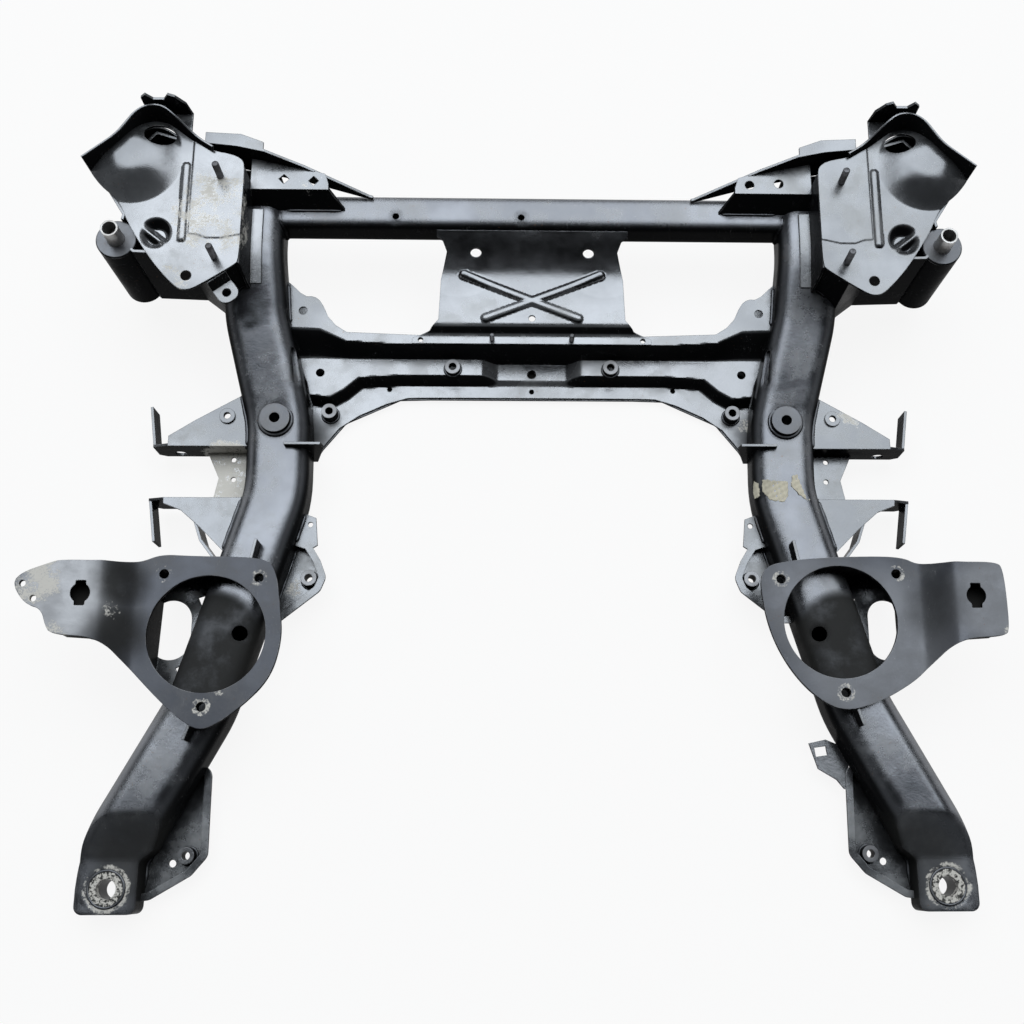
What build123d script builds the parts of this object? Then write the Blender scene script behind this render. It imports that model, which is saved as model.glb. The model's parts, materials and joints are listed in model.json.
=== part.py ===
from build123d import *
import os

os.makedirs("parts", exist_ok=True)

# Welded suspension subframe, in millimetres, +Z up, rear towards +Y.
# X = 0 is the plane of symmetry. The origin is the mouth of the centre hole in the crossmember floor.

# Sheet steel, and the gap left where one piece meets the curved face of another
sheet = 3.0
heavy_sheet = 5.0
weld_gap = 0.2

# Side rails: bent tubes that run low at the front and rise to the cross tube
rail_width = 72.0
rail_height = 64.0
rail_corner = 20.0
rail_wall = 3.0
rail_bend = 150.0
rail_level = 19.0
rail_rise = 42.0
rail_rear = 200.0
rail_front = -617.0
rail_bottom = rail_level - rail_height / 2
rail_top = rail_level + rail_height / 2
end_outer = -479.0
end_inner = -415.0
end_corner = 9.0
slope_start = -512.0
slope_end = -563.0
pad_level = 25.0

# Spacer sleeve through each rail's front end, and the boss through its middle
end_place = (-446.5, -591.0)
end_bore = 21.0
end_sleeve_diameter = 36.0
end_sleeve_stand = 1.5
boss_place = (-292.0, -77.0)
boss_bore = 12.0
boss_diameter = 34.0
boss_stand = 9.0
access_place = (-318.0, -323.0)
access_diameter = 17.0
dimple_radius = 5.0
dimple_ends = [(-276.5, 6.0, 53.5), (-274.0, -30.0, 50.0)]

# Rear cross tube
tube_depth = 40.0
tube_height = 42.0
tube_corner = 9.0
tube_wall = 2.5
tube_rear = 190.0
tube_level = 66.0
tube_front = tube_rear - tube_depth
tube_top = tube_level + tube_height / 2
tube_hole_places = [(-159.0, 162.0), (-13.0, 162.0)]
tube_hole_diameter = 8.0

# Crossmember pressing: heights of its steps above the floor around the centre hole
floor_level = 0.0
flange_level = -3.0
plateau_level = 15.0
crest_level = 45.0
base_level = flange_level - sheet
floor_half = 38.0
ramp_half = 62.0
crest_rear = 30.0
crest_front = 18.0
plateau_rear = 16.0
plateau_front = -11.0
flange_front = -29.0
lip_front = -109.0
lip_crest = 60.0
step_corner = 5.0

# Crossmember holes, nuts and studs
centre_bore = 11.0
small_hole = 6.0
plateau_nut_place = (-93.5, 0.5)
flange_nut_place = (-238.0, -52.0)
nut_bore = 9.0
nut_access = 16.0
nut_diameter = 18.0
plateau_nut_height = 9.0
flange_nut_height = 16.0
end_hole_place = (-250.0, -5.0)
ear_hole_place = (-268.5, 61.0)
ear_hole = 10.0
front_hole_places = [(0.0, -21.0), (-169.5, -19.0)]
panel_rivet_place = (-130.0, 24.0)
panel_stud_place = (-46.5, 25.0)
panel_stud_diameter = 6.0
panel_stud_height = 13.0

# Ribbed panel from the crossmember's crest to the cross tube
panel_foot_front = 19.5
panel_foot_rear = 33.0
panel_shelf = 59.0
panel_bend = 95.0
panel_reach = 79.0
panel_foot_half = 140.0
panel_half = 108.0
rib_radius = 5.5
rib_sink = 2.2
panel_slot_place = (-66.0, 126.0)
panel_hole_place = (0.0, 47.0)

# Towers: a stud plate, a dome with a large hole, and a lip behind it
deck_level = 149.0
deck_inner = -323.0
deck_corner = 6.0
foot_strip_width = 12.0
foot_strip_middle = 122.0
foot_strip_length = 84.0
ledge_width = 6.0
dome_centre = (-447.0, 197.0)
dome_base = 54.0
dome_height = 23.0
dome_hole_place = (-417.0, 224.0)
dome_hole = 33.0
lip_top = 178.0
lip_low = 162.0
horn_top = 190.0
horn_rear = 252.0
tower_foot = 25.0
pocket_place = (-413.0, 106.0)
pocket_radius = 19.0
pocket_depth = 12.0
stud_places = [(deck_inner - 26.0, 176.0), (deck_inner - 26.5, 77.0)]
stud_diameter = 8.0
stud_root = stud_diameter + 0.6
stud_height = 28.0
deck_hole_place = (-379.0, 55.0)
deck_hole = 12.0
tab_drop = 12.0

# Bush at each tower: an outer tube, rubber, a washer and the inner sleeve
bush_place = (-461.0, 102.0)
bush_diameter = 45.0
bush_wall = 4.0
bush_foot = 23.0
bush_top = 141.0
bush_washer = 3.0
sleeve_diameter = 19.0
sleeve_bore = 15.0
sleeve_stand = 26.0
sleeve_drop = 4.0

# Rear gussets between the towers and the cross tube
gusset_level = 117.0
gusset_reach = -234.0
gusset_toe = -186.0
gusset_front = 179.0
gusset_wall_foot = 168.0
gusset_wall_end = -218.0
gusset_crest = 139.0
gusset_hole = 11.0
gusset_hole_places = [(-285.0, 192.0), (-251.0, 190.0)]

# Control-arm clevis on each rail: two walls facing each other across the arm's bush
clevis_top = 37.0
clevis_drop = 40.0
clevis_rear_wall = -101.0
clevis_gap = 61.0
clevis_outer = -434.0
clevis_web_level = 10.0
clevis_bolt_place = (-408.0, 8.0)
clevis_bolt_hole = 14.0
clevis_return = 46.0
web_hole_places = [(-346.0, -112.0), (-345.0, -136.0)]

# Engine-mount plates and their wings
mount_level = 77.0
wing_level = 107.0
mount_bolt_hole = 10.5
mount_nut_diameter = 18.0
mount_nut_height = 10.0
wing_hole = 8.0
plate_corner = 15.0
wing_corner = 5.5
keyhole_diameter = 21.0
keyhole_notch = 11.0
keyhole_length = 27.0
skirt_foot = 60.0
support_floor = 8.0
support_inset = 7.0

# Small brackets on the inboard side of each rail
pan_flange = 5.0
pan_corner = 8.0
pocket_floor = 3.0
pocket_rim = 19.0
pocket_nut_place = (-251.5, -254.0)
pocket_nut_height = 16.0
front_floor = -10.0
front_rim = 6.0
front_nut_place = (-371.0, -557.0)
front_nut_height = 14.0
front_hole_place = (-388.0, -565.0)


def write(piece, name):
    """One finished piece, labelled and written as its own file."""
    piece.part.label = name
    export_step(piece.part, f"parts/{name}.step")


def write_pair(left, name):
    """A left-hand piece and its mirror image on the right."""
    write(left, f"left_{name}")
    with BuildPart() as right:
        mirror(left.part, about=Plane.YZ)
    write(right, f"right_{name}")


def both_sides(place):
    """A place on the left and its mirror image on the right."""
    return [place, (-place[0], place[1])]


def drill(places, diameter, bottom, top):
    """Round holes along Z between two heights, cut from the piece being built."""
    with BuildSketch(Plane.XY.offset(bottom)) as holes:
        with Locations(*places):
            Circle(diameter / 2)
    extrude(holes.sketch, amount=top - bottom, mode=Mode.SUBTRACT)


def ring(places, outer, bore, bottom, height):
    """Round collars with a bore, standing at each place."""
    with BuildSketch(Plane.XY.offset(bottom)) as collars:
        with Locations(*places):
            Circle(outer / 2)
            Circle(bore / 2, mode=Mode.SUBTRACT)
    extrude(collars.sketch, amount=height)


def block(outline, bottom, top, inset=0.0, corner=0.0):
    """A straight-sided block over a plan outline, drawn in by the inset and rounded in plan."""
    with BuildSketch(Plane.XY.offset(bottom)) as plan:
        with BuildLine():
            if corner:
                FilletPolyline(*outline, radius=corner, close=True)
            else:
                Polyline(*outline, close=True)
        make_face()
        if inset:
            offset(amount=-inset, kind=Kind.INTERSECTION)
    extrude(plan.sketch, amount=top - bottom)


# Side rails


def rail_form(grow):
    """The left rail as a solid bar, its section grown on every side."""
    upper = rail_level + rail_rise
    route_points = [
        (-326, rail_rear, upper),
        (-326, 124, upper),
        (-319, 46, rail_level + 0.55 * rail_rise),
        (-291, -72, rail_level),
        (-289.5, -160, rail_level),
        (-360, -400, rail_level),
        (-440, -551, rail_level),
        (-446, rail_front - 20, rail_level),
    ]
    with BuildPart() as form:
        with BuildLine():
            route = FilletPolyline(*route_points, radius=rail_bend)
        with BuildSketch(Plane(origin=route_points[0], x_dir=(1, 0, 0), z_dir=(0, -1, 0))):
            RectangleRounded(rail_width + 2 * grow, rail_height + 2 * grow, rail_corner + grow)
        sweep(path=route)
        # The top falls to a low pad at the front end, and the end is cut square.
        with BuildSketch(Plane.YZ):
            with BuildLine():
                Polyline(
                    (slope_start, rail_top + grow),
                    (slope_end, pad_level + grow),
                    (rail_front - grow, pad_level + grow),
                    (rail_front - grow, rail_bottom - rail_height),
                    (rail_front - rail_width, rail_bottom - rail_height),
                    (rail_front - rail_width, rail_top + rail_height),
                    (slope_start, rail_top + rail_height),
                    close=True,
                )
            make_face()
        extrude(amount=8 * rail_width, both=True, mode=Mode.SUBTRACT)
        # In plan the end is a little narrower than the rail, with rounded corners.
        with BuildSketch(Plane.XY.offset(rail_bottom - rail_height)) as end_plan:
            with BuildLine():
                FilletPolyline(
                    (end_outer, slope_start),
                    (end_outer, rail_front),
                    (end_inner, rail_front),
                    (end_inner, slope_end),
                    (end_inner + rail_width, slope_start),
                    (end_inner + 3 * rail_width, slope_start),
                    (end_inner + 3 * rail_width, 2 * rail_rear),
                    (end_outer - 2 * rail_width, 2 * rail_rear),
                    (end_outer - 2 * rail_width, slope_start + 3),
                    radius=end_corner,
                    close=True,
                )
            make_face()
            if grow:
                offset(amount=grow)
        extrude(end_plan.sketch, amount=4 * rail_height, mode=Mode.INTERSECT)
    return form.part


rail_clearance = rail_form(weld_gap)
rail_jacket = rail_form(weld_gap + sheet) - rail_clearance
right_rail_clearance = mirror(rail_clearance, about=Plane.YZ)



def dimple(radius):
    """A short bar with round ends, sunk into the rail's inboard shoulder."""
    with BuildPart() as bar:
        with BuildLine():
            spine = Line(dimple_ends)
        with BuildSketch(Plane(origin=spine @ 0, z_dir=spine % 0)):
            Circle(radius)
        sweep(path=spine)
        for end in dimple_ends:
            with Locations(end):
                Sphere(radius)
    return bar.part


with BuildPart() as rail_cavity:
    add(rail_form(-rail_wall))
    add(dimple(dimple_radius + rail_wall), mode=Mode.SUBTRACT)

with BuildPart() as rail:
    add(rail_form(0))
    add(rail_cavity.part, mode=Mode.SUBTRACT)
    add(dimple(dimple_radius), mode=Mode.SUBTRACT)
    drill([end_place], end_sleeve_diameter + 2 * weld_gap, rail_bottom - 1, rail_top)
    drill([boss_place], boss_diameter + 2 * weld_gap, rail_bottom - 1, rail_top + boss_stand)
    drill([access_place], access_diameter, rail_level, rail_top + 1)

write_pair(rail, "rail")

with BuildPart() as end_sleeve:
    end_sleeve_top = pad_level + end_sleeve_stand
    ring([end_place], end_sleeve_diameter, end_bore, rail_bottom, end_sleeve_top - rail_bottom)

write_pair(end_sleeve, "rail_end_sleeve")

with BuildPart() as rail_boss:
    ring([boss_place], boss_diameter, boss_bore, rail_bottom, rail_height + boss_stand)

write_pair(rail_boss, "rail_boss")


# Rear cross tube, with its ends cut to the rails' rounded sides

with BuildPart() as cross_tube:
    with BuildSketch(Plane.YZ):
        with Locations((tube_rear - tube_depth / 2, tube_level)):
            RectangleRounded(tube_depth, tube_height, tube_corner)
            RectangleRounded(
                tube_depth - 2 * tube_wall,
                tube_height - 2 * tube_wall,
                tube_corner - tube_wall,
                mode=Mode.SUBTRACT,
            )
    extrude(amount=316, both=True)
    add(rail_clearance, mode=Mode.SUBTRACT)
    add(right_rail_clearance, mode=Mode.SUBTRACT)
    drill(tube_hole_places, tube_hole_diameter, tube_level, tube_top + 1)

write(cross_tube, "rear_cross_tube")


# Crossmember: one stepped pressing over a flat closing pressing

rail_side = -300.0
rear_edge = [
    (-210, crest_rear),
    (-236, 47),
    (-247, 72),
    (-256, 79.5),
    (-268, 79),
    (-286, 97),
    (rail_side, 100),
]


def mirrored_outline(half):
    """A left half outline closed by its mirror image."""
    return half + [(-x, y) for x, y in reversed(half)]


footprint = mirrored_outline(
    [
        (-121, flange_front),
        (-157, flange_front - 1),
        (-221, -60),
        (-247, -93),
        (-255, lip_front + sheet),
        (rail_side, lip_front + sheet),
    ]
    + rear_edge[::-1]
)
plateau_outline = mirrored_outline(
    [
        (-156, plateau_front),
        (-203, plateau_front - 3),
        (-220, -29),
        (-237, -39),
        (-261, -36),
        (rail_side, -30),
    ]
    + rear_edge[::-1]
)
crest_shoulder = crest_front + 21
crest_foot = mirrored_outline([(rail_side, plateau_rear)] + rear_edge[::-1])
crest_outline = mirrored_outline(
    [(-154, crest_front), (-218, 22), (-248, 37), (rail_side, crest_shoulder)] + rear_edge[::-1]
)


def crossmember_form(skin):
    """The stepped pressing as a solid block, drawn in and lowered by the skin."""
    with BuildPart() as form:
        # The front wall leans back more and more towards the rails.
        block(crest_foot, base_level, crest_level - skin, skin, step_corner)
        with BuildSketch(Plane.YZ) as lean:
            with BuildLine():
                Polyline(
                    (plateau_rear + skin, plateau_level - skin),
                    (crest_shoulder + skin, crest_level - skin),
                    (crest_shoulder + skin, crest_level + sheet),
                    (plateau_rear - sheet, crest_level + sheet),
                    (plateau_rear - sheet, plateau_level - skin),
                    close=True,
                )
            make_face()
        extrude(lean.sketch, amount=rail_side, both=True, mode=Mode.SUBTRACT)
        block(plateau_outline, base_level, plateau_level - skin, skin, step_corner)
        block(crest_outline, base_level, crest_level - skin, skin, step_corner)
        # The middle of the plateau drops to the floor around the centre hole.
        with BuildSketch(Plane.XZ.offset(-plateau_rear - skin)):
            with BuildLine():
                Polyline(
                    (-floor_half - skin, floor_level - skin),
                    (floor_half + skin, floor_level - skin),
                    (ramp_half + skin, plateau_level - skin),
                    (ramp_half + skin, plateau_level + sheet),
                    (-ramp_half - skin, plateau_level + sheet),
                    (-ramp_half - skin, plateau_level - skin),
                    close=True,
                )
            make_face()
        extrude(amount=plateau_rear - plateau_front + 3 * sheet, mode=Mode.SUBTRACT)
    return form.part


with BuildPart() as crossmember_upper:
    block(footprint, base_level, flange_level, 0, step_corner)
    add(crossmember_form(0))
    add(crossmember_form(sheet), mode=Mode.SUBTRACT)
    add(rail_clearance, mode=Mode.SUBTRACT)
    add(right_rail_clearance, mode=Mode.SUBTRACT)
    drill([(0, 0)], centre_bore, base_level - 1, plateau_level)
    drill(both_sides(plateau_nut_place), nut_bore, base_level - 1, plateau_level + 1)
    drill(both_sides(flange_nut_place), nut_bore, base_level - 1, flange_level + 1)
    drill(both_sides(end_hole_place), ear_hole, base_level - 1, plateau_level + 1)
    drill(both_sides(ear_hole_place), ear_hole, plateau_level, crest_level + 1)
    drill(front_hole_places + [(169.5, -19.0)], small_hole, base_level - 1, flange_level + 1)
    drill(both_sides(panel_rivet_place), small_hole, plateau_level, crest_level + 1)

write(crossmember_upper, "crossmember_upper")

with BuildPart() as crossmember_lower:
    block(footprint, base_level - sheet, base_level, -1.5, step_corner)
    add(rail_clearance, mode=Mode.SUBTRACT)
    add(right_rail_clearance, mode=Mode.SUBTRACT)
    drill([(0, 0)], centre_bore, base_level - sheet - 1, base_level + 1)
    drill(both_sides(plateau_nut_place), nut_access, base_level - sheet - 1, base_level + 1)
    drill(both_sides(flange_nut_place), nut_bore, base_level - sheet - 1, base_level + 1)
    drill(both_sides(end_hole_place), nut_access, base_level - sheet - 1, base_level + 1)
    drill(front_hole_places + [(169.5, -19.0)], small_hole, base_level - sheet - 1, base_level + 1)

write(crossmember_lower, "crossmember_lower")

with BuildPart() as crossmember_lip:
    with BuildSketch(Plane.XZ.offset(-lip_front - sheet)):
        with BuildLine():
            Polyline(
                (-280, lip_crest),
                (-239, lip_crest),
                (-237, lip_crest - 14),
                (-251, base_level),
                (-266, base_level),
                (-280, rail_top),
                close=True,
            )
        make_face()
    extrude(amount=sheet)
    add(rail_clearance, mode=Mode.SUBTRACT)

write_pair(crossmember_lip, "crossmember_lip")

with BuildPart() as plateau_nuts:
    ring(both_sides(plateau_nut_place), nut_diameter, nut_bore, plateau_level, plateau_nut_height)

write(plateau_nuts, "plateau_nuts")

with BuildPart() as flange_nuts:
    ring(both_sides(flange_nut_place), nut_diameter, nut_bore, flange_level, flange_nut_height)

write(flange_nuts, "flange_nuts")


# Ribbed panel: one bent sheet with two crossed beads


def panel_layer(lower, upper):
    """The panel's bent section between two offsets above its upper face, as wide as its foot."""
    with BuildPart() as layer:
        with BuildSketch(Plane.YZ):
            with BuildLine():
                Polyline(
                    (panel_foot_front, crest_level + sheet + lower),
                    (panel_foot_rear - lower, crest_level + sheet + lower),
                    (panel_foot_rear + 2 - lower, panel_shelf + lower),
                    (panel_bend, panel_shelf - 2 + lower),
                    (tube_front, panel_reach + lower),
                    (tube_front, panel_reach + upper),
                    (panel_bend, panel_shelf - 2 + upper),
                    (panel_foot_rear + 2 - upper, panel_shelf + upper),
                    (panel_foot_rear - upper, crest_level + sheet + upper),
                    (panel_foot_front, crest_level + sheet + upper),
                    close=True,
                )
            make_face()
        extrude(amount=panel_foot_half, both=True)
    return layer.part


panel_outline = mirrored_outline(
    [
        (-panel_foot_half, panel_foot_front),
        (-panel_foot_half, panel_foot_rear - 7),
        (-118, panel_foot_rear + 2),
        (-panel_half, 46),
        (-panel_half, 92),
        (-99, 129),
        (-112, tube_front),
    ]
)
rib_ends = [((-80, 101), (54, 47)), ((80, 101), (-54, 47))]


def panel_ribs(radius):
    """Two crossed bars with round ends, half sunk in the panel's upper face."""
    level = panel_shelf - 1 - rib_sink
    with BuildPart() as bars:
        for start, end in rib_ends:
            with BuildLine():
                spine = Line((*start, level), (*end, level + 1))
            with BuildSketch(Plane(origin=spine @ 0, z_dir=spine % 0)):
                Circle(radius)
            sweep(path=spine)
            with Locations(spine @ 0, spine @ 1):
                Sphere(radius)
    return bars.part


raised_ribs = panel_layer(-sheet / 2, 3 * sheet) & panel_ribs(rib_radius)

with BuildPart() as ribbed_panel:
    block(panel_outline, crest_level, deck_level)
    add(panel_layer(-sheet, 0), mode=Mode.INTERSECT)
    add(raised_ribs)
    add(panel_ribs(rib_radius - sheet), mode=Mode.SUBTRACT)
    drill([panel_hole_place], ear_hole - 2, crest_level, panel_reach)
    drill(both_sides(panel_rivet_place), small_hole, crest_level, panel_reach)
    with BuildSketch(Plane.XY.offset(crest_level)):
        with Locations(*both_sides(panel_slot_place)):
            SlotOverall(13, 10)
    extrude(amount=panel_reach, mode=Mode.SUBTRACT)

write(ribbed_panel, "ribbed_panel")

with BuildPart() as panel_studs:
    with BuildSketch(Plane.XY.offset(crest_level + sheet)):
        with Locations(*both_sides(panel_stud_place)):
            Circle(panel_stud_diameter / 2)
    extrude(amount=panel_stud_height)
    chamfer(panel_studs.edges().group_by(Axis.Z)[-1], 0.8)

write(panel_studs, "panel_studs")


# Tower shell: stud plate, dome, pocket, lip and inner wall in one pressing

deck_outline = [
    (-361, 209),
    (-335, 203),
    (deck_inner, 187),
    (deck_inner, 74),
    (-358, 48),
    (-371, 40),
    (-388, 39),
    (-403, 54),
    (-433, 92),
    (-450, 125),
    (-457, 141),
    (-478, 159),
    (-495, 180),
    (-459, 211),
    (-441, 240),
    (-422, 248),
    (-403, 241),
    (-387, 227),
]
lip_route = [(-492, 180), (-458, 209), (-440, 238), (-422, 246), (-404, 239)]
low_lip_route = [(-406, 240), (-388, 225), (-361, 207)]
dome_sphere = (dome_base**2 + dome_height**2) / (2 * dome_height)
pocket_sphere = (pocket_radius**2 + pocket_depth**2) / (2 * pocket_depth)


def upright(route_points, bottom, top, thickness=sheet):
    """A thin wall standing on a plan route."""
    with BuildSketch(Plane.XY.offset(bottom)) as strip:
        with BuildLine():
            Polyline(*route_points)
        trace(line_width=thickness)
    extrude(strip.sketch, amount=top - bottom)


dome_middle = Pos(dome_centre[0], dome_centre[1], deck_level + dome_height - dome_sphere)
pocket_middle = Pos(pocket_place[0], pocket_place[1], deck_level - pocket_depth + pocket_sphere)
pocket_clearance = pocket_middle * Sphere(pocket_sphere + sheet + weld_gap)
dome_shell = dome_middle * (Sphere(dome_sphere) - Sphere(dome_sphere - sheet))
dome_shell = split(dome_shell, bisect_by=Plane.XY.offset(deck_level - sheet), keep=Keep.TOP)
pocket_shell = pocket_middle * (Sphere(pocket_sphere + sheet) - Sphere(pocket_sphere))
pocket_shell = split(pocket_shell, bisect_by=Plane.XY.offset(deck_level), keep=Keep.BOTTOM)

with BuildPart() as deck_column:
    block(deck_outline, deck_level - 2 * dome_height, deck_level + 2 * dome_height, 0, deck_corner)

dome_shell = dome_shell & deck_column.part

# A slanted ledge crosses the pocket, and a flange strip lies along the rail's shoulder.
with BuildPart() as ledge:
    upright(
        [(pocket_place[0] - 15, pocket_place[1] + 3), (pocket_place[0] + 8, pocket_place[1] - 11)],
        deck_level - 2 * pocket_depth,
        deck_level - 1,
        ledge_width,
    )
ledge_piece = ledge.part & (pocket_middle * Sphere(pocket_sphere + 1))

with BuildPart() as foot_block:
    with BuildSketch(Plane.XY.offset(rail_level + rail_rise)):
        with Locations((deck_inner + 3, foot_strip_middle)):
            Rectangle(foot_strip_width, foot_strip_length)
    extrude(amount=rail_height)
foot_strip = foot_block.part & rail_jacket

with BuildPart() as tower_shell:
    block(deck_outline, deck_level - sheet, deck_level, 0, deck_corner)
    drill([dome_centre], 2 * (dome_base - 2), deck_level - sheet, deck_level)
    add(dome_shell)
    drill([pocket_place], 2 * pocket_radius, deck_level - sheet, deck_level)
    add(pocket_shell)
    add(ledge_piece)
    upright(lip_route, deck_level - sheet, lip_top)
    upright(low_lip_route, deck_level - sheet, lip_low)
    drill([dome_hole_place], dome_hole, deck_level - sheet, deck_level + dome_height + 1)
    # The inner wall stands on the rail's shoulder.
    with BuildSketch(Plane.XY.offset(rail_top)):
        with BuildLine():
            Polyline(
                (deck_inner, 187),
                (deck_inner, 74),
                (deck_inner - sheet, 72),
                (deck_inner - sheet, 190),
                close=True,
            )
        make_face()
    extrude(amount=deck_level - sheet - rail_top)
    add(foot_strip)
    # A raised bead stiffens the plate beside the dome.
    with BuildSketch(Plane.XY.offset(deck_level)):
        with BuildLine(mode=Mode.PRIVATE) as bead_line:
            Line((-388, 190), (-380, 104))
        trace(bead_line.line, line_width=8)
    extrude(amount=2.5)
    add(rail_clearance, mode=Mode.SUBTRACT)
    drill([deck_hole_place], deck_hole, deck_level - sheet - 1, deck_level + 1)
    drill(stud_places, stud_root + 2 * weld_gap, deck_level - sheet - 1, deck_level + 1)

write_pair(tower_shell, "tower_shell")

# Pressed-in studs: a knurled root in the plate, a little thicker than the shank above it
with BuildPart() as tower_studs:
    with BuildSketch(Plane.XY.offset(deck_level - sheet)):
        with Locations(*both_sides(stud_places[0]), *both_sides(stud_places[1])):
            Circle(stud_root / 2)
    extrude(amount=sheet)
    with BuildSketch(Plane.XY.offset(deck_level)):
        with Locations(*both_sides(stud_places[0]), *both_sides(stud_places[1])):
            Circle(stud_diameter / 2)
    extrude(amount=stud_height)
    chamfer(tower_studs.edges().group_by(Axis.Z)[-1], 1)

write(tower_studs, "tower_studs")

# Tower body: the deep wall under the plate, from the bush tube round to the rail
body_outline = [
    (deck_inner - sheet - weld_gap, 77),
    (-341, 66),
    (-354, 58),
    (-385, 82),
    (-440, 84),
    (-461, 102),
    (-455, 130),
    (-482, 172),
    (-452, 205),
    (-425, 234),
    (-400, 226),
    (-352, 203),
    (deck_inner - sheet - weld_gap, 188),
]

# Hollow inside, and open where the shell's inner wall closes it
with BuildPart() as body_hollow:
    block(body_outline, tower_foot, deck_level - sheet, sheet)
    with BuildSketch(Plane.XY.offset(tower_foot)):
        with Locations((deck_inner - sheet, (body_outline[0][1] + body_outline[-1][1]) / 2)):
            Rectangle(5 * sheet, body_outline[-1][1] - body_outline[0][1] - 2 * sheet)
    extrude(amount=deck_level - sheet - tower_foot)

with BuildPart() as tower_body:
    block(body_outline, tower_foot, deck_level - sheet)
    add(body_hollow.part, mode=Mode.SUBTRACT)
    add(rail_clearance, mode=Mode.SUBTRACT)
    add(pocket_clearance, mode=Mode.SUBTRACT)
    drill([bush_place], bush_diameter + 2 * weld_gap, tower_foot, deck_level - sheet)

write_pair(tower_body, "tower_body")

with BuildPart() as body_clearance:
    block(body_outline, tower_foot, deck_level, -weld_gap)

with BuildPart() as shell_clearance:
    block(deck_outline, deck_level - sheet, lip_top, -weld_gap, deck_corner)
    upright(lip_route, deck_level - sheet, lip_top, sheet + 2 * weld_gap)
    upright(low_lip_route, deck_level - sheet, lip_top, sheet + 2 * weld_gap)

# Bracket behind the dome, with two raised horns
with BuildPart() as tower_horns:
    with BuildSketch(Plane.XZ.offset(-horn_rear)):
        with BuildLine():
            Polyline(
                (-434, deck_level),
                (-434, horn_top - 6),
                (-428, horn_top),
                (-421, horn_top - 9),
                (-409, horn_top - 9),
                (-403, horn_top),
                (-396, horn_top - 4),
                (-387, horn_top - 18),
                (-384, deck_level),
                close=True,
            )
        make_face()
    extrude(amount=-sheet)
    with BuildSketch(Plane.XY.offset(deck_level)):
        with BuildLine():
            Polyline(
                (-434, horn_rear),
                (-434, 246),
                (-422, 249),
                (-404, 242),
                (-390, 229),
                (-384, 224),
                (-384, horn_rear),
                close=True,
            )
        make_face()
    extrude(amount=sheet)
    add(shell_clearance.part, mode=Mode.SUBTRACT)

write_pair(tower_horns, "tower_horns")

# Bent tab on the front edge of the left stud plate
tab_plane = Plane(origin=(-351, 61, deck_level - sheet), x_dir=(0.6, -0.8, 0), z_dir=(-0.8, -0.6, 0))
with BuildPart() as tower_tab:
    with BuildSketch(tab_plane):
        with BuildLine():
            Polyline(
                (0, 0),
                (8, 0),
                (14, -tab_drop),
                (35, -tab_drop),
                (35, -tab_drop - sheet),
                (12, -tab_drop - sheet),
                (6, -sheet),
                (0, -sheet),
                close=True,
            )
        make_face()
    extrude(amount=12, both=True)
    fillet(tower_tab.edges().filter_by(Axis.Z).sort_by(Axis.Y)[:2], 10)
    drill([(-337, 42)], ear_hole, deck_level - 2 * tab_drop, deck_level - sheet - 1)
    add(tower_body.part, mode=Mode.SUBTRACT)
    add(rail_clearance, mode=Mode.SUBTRACT)

write(tower_tab, "left_tower_tab")


# Bushes

bush_bore = bush_diameter - 2 * bush_wall
bush_length = bush_top - bush_washer - bush_foot
sleeve_foot = bush_foot - sleeve_drop

with BuildPart() as bush_tube:
    ring([bush_place], bush_diameter, bush_bore, bush_foot, bush_length)

write_pair(bush_tube, "bush_tube")

with BuildPart() as bush_rubber:
    ring(
        [bush_place],
        bush_bore - 2 * weld_gap,
        sleeve_diameter + 2 * weld_gap,
        bush_foot,
        bush_length,
    )

write_pair(bush_rubber, "bush_rubber")

with BuildPart() as bush_cap:
    ring([bush_place], bush_diameter, sleeve_diameter + 2 * weld_gap, bush_top - bush_washer, bush_washer)
    chamfer(bush_cap.edges().group_by(Axis.Z)[-1].sort_by(SortBy.LENGTH)[-1], 1)

write_pair(bush_cap, "bush_washer")

with BuildPart() as bush_sleeve:
    ring([bush_place], sleeve_diameter, sleeve_bore, sleeve_foot, bush_top + sleeve_stand - sleeve_foot)

write_pair(bush_sleeve, "bush_sleeve")


# Rear gussets: a channel on the cross tube and a taller flange behind it

flange_line = [(-372, 226), (-335, 222), (-262, 206), (gusset_toe, 184)]

with BuildPart() as flange_wall:
    upright(flange_line, tube_top + weld_gap, gusset_crest)
    # The crest runs level behind the tower and falls to the toe.
    with BuildSketch(Plane.XZ):
        with BuildLine():
            Polyline(
                (-305, gusset_crest),
                (gusset_toe - 4, tube_top + 5),
                (gusset_toe + 20, tube_top + 5),
                (gusset_toe + 20, gusset_crest),
                close=True,
            )
        make_face()
    extrude(amount=-2 * rail_rear, mode=Mode.SUBTRACT)


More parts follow.
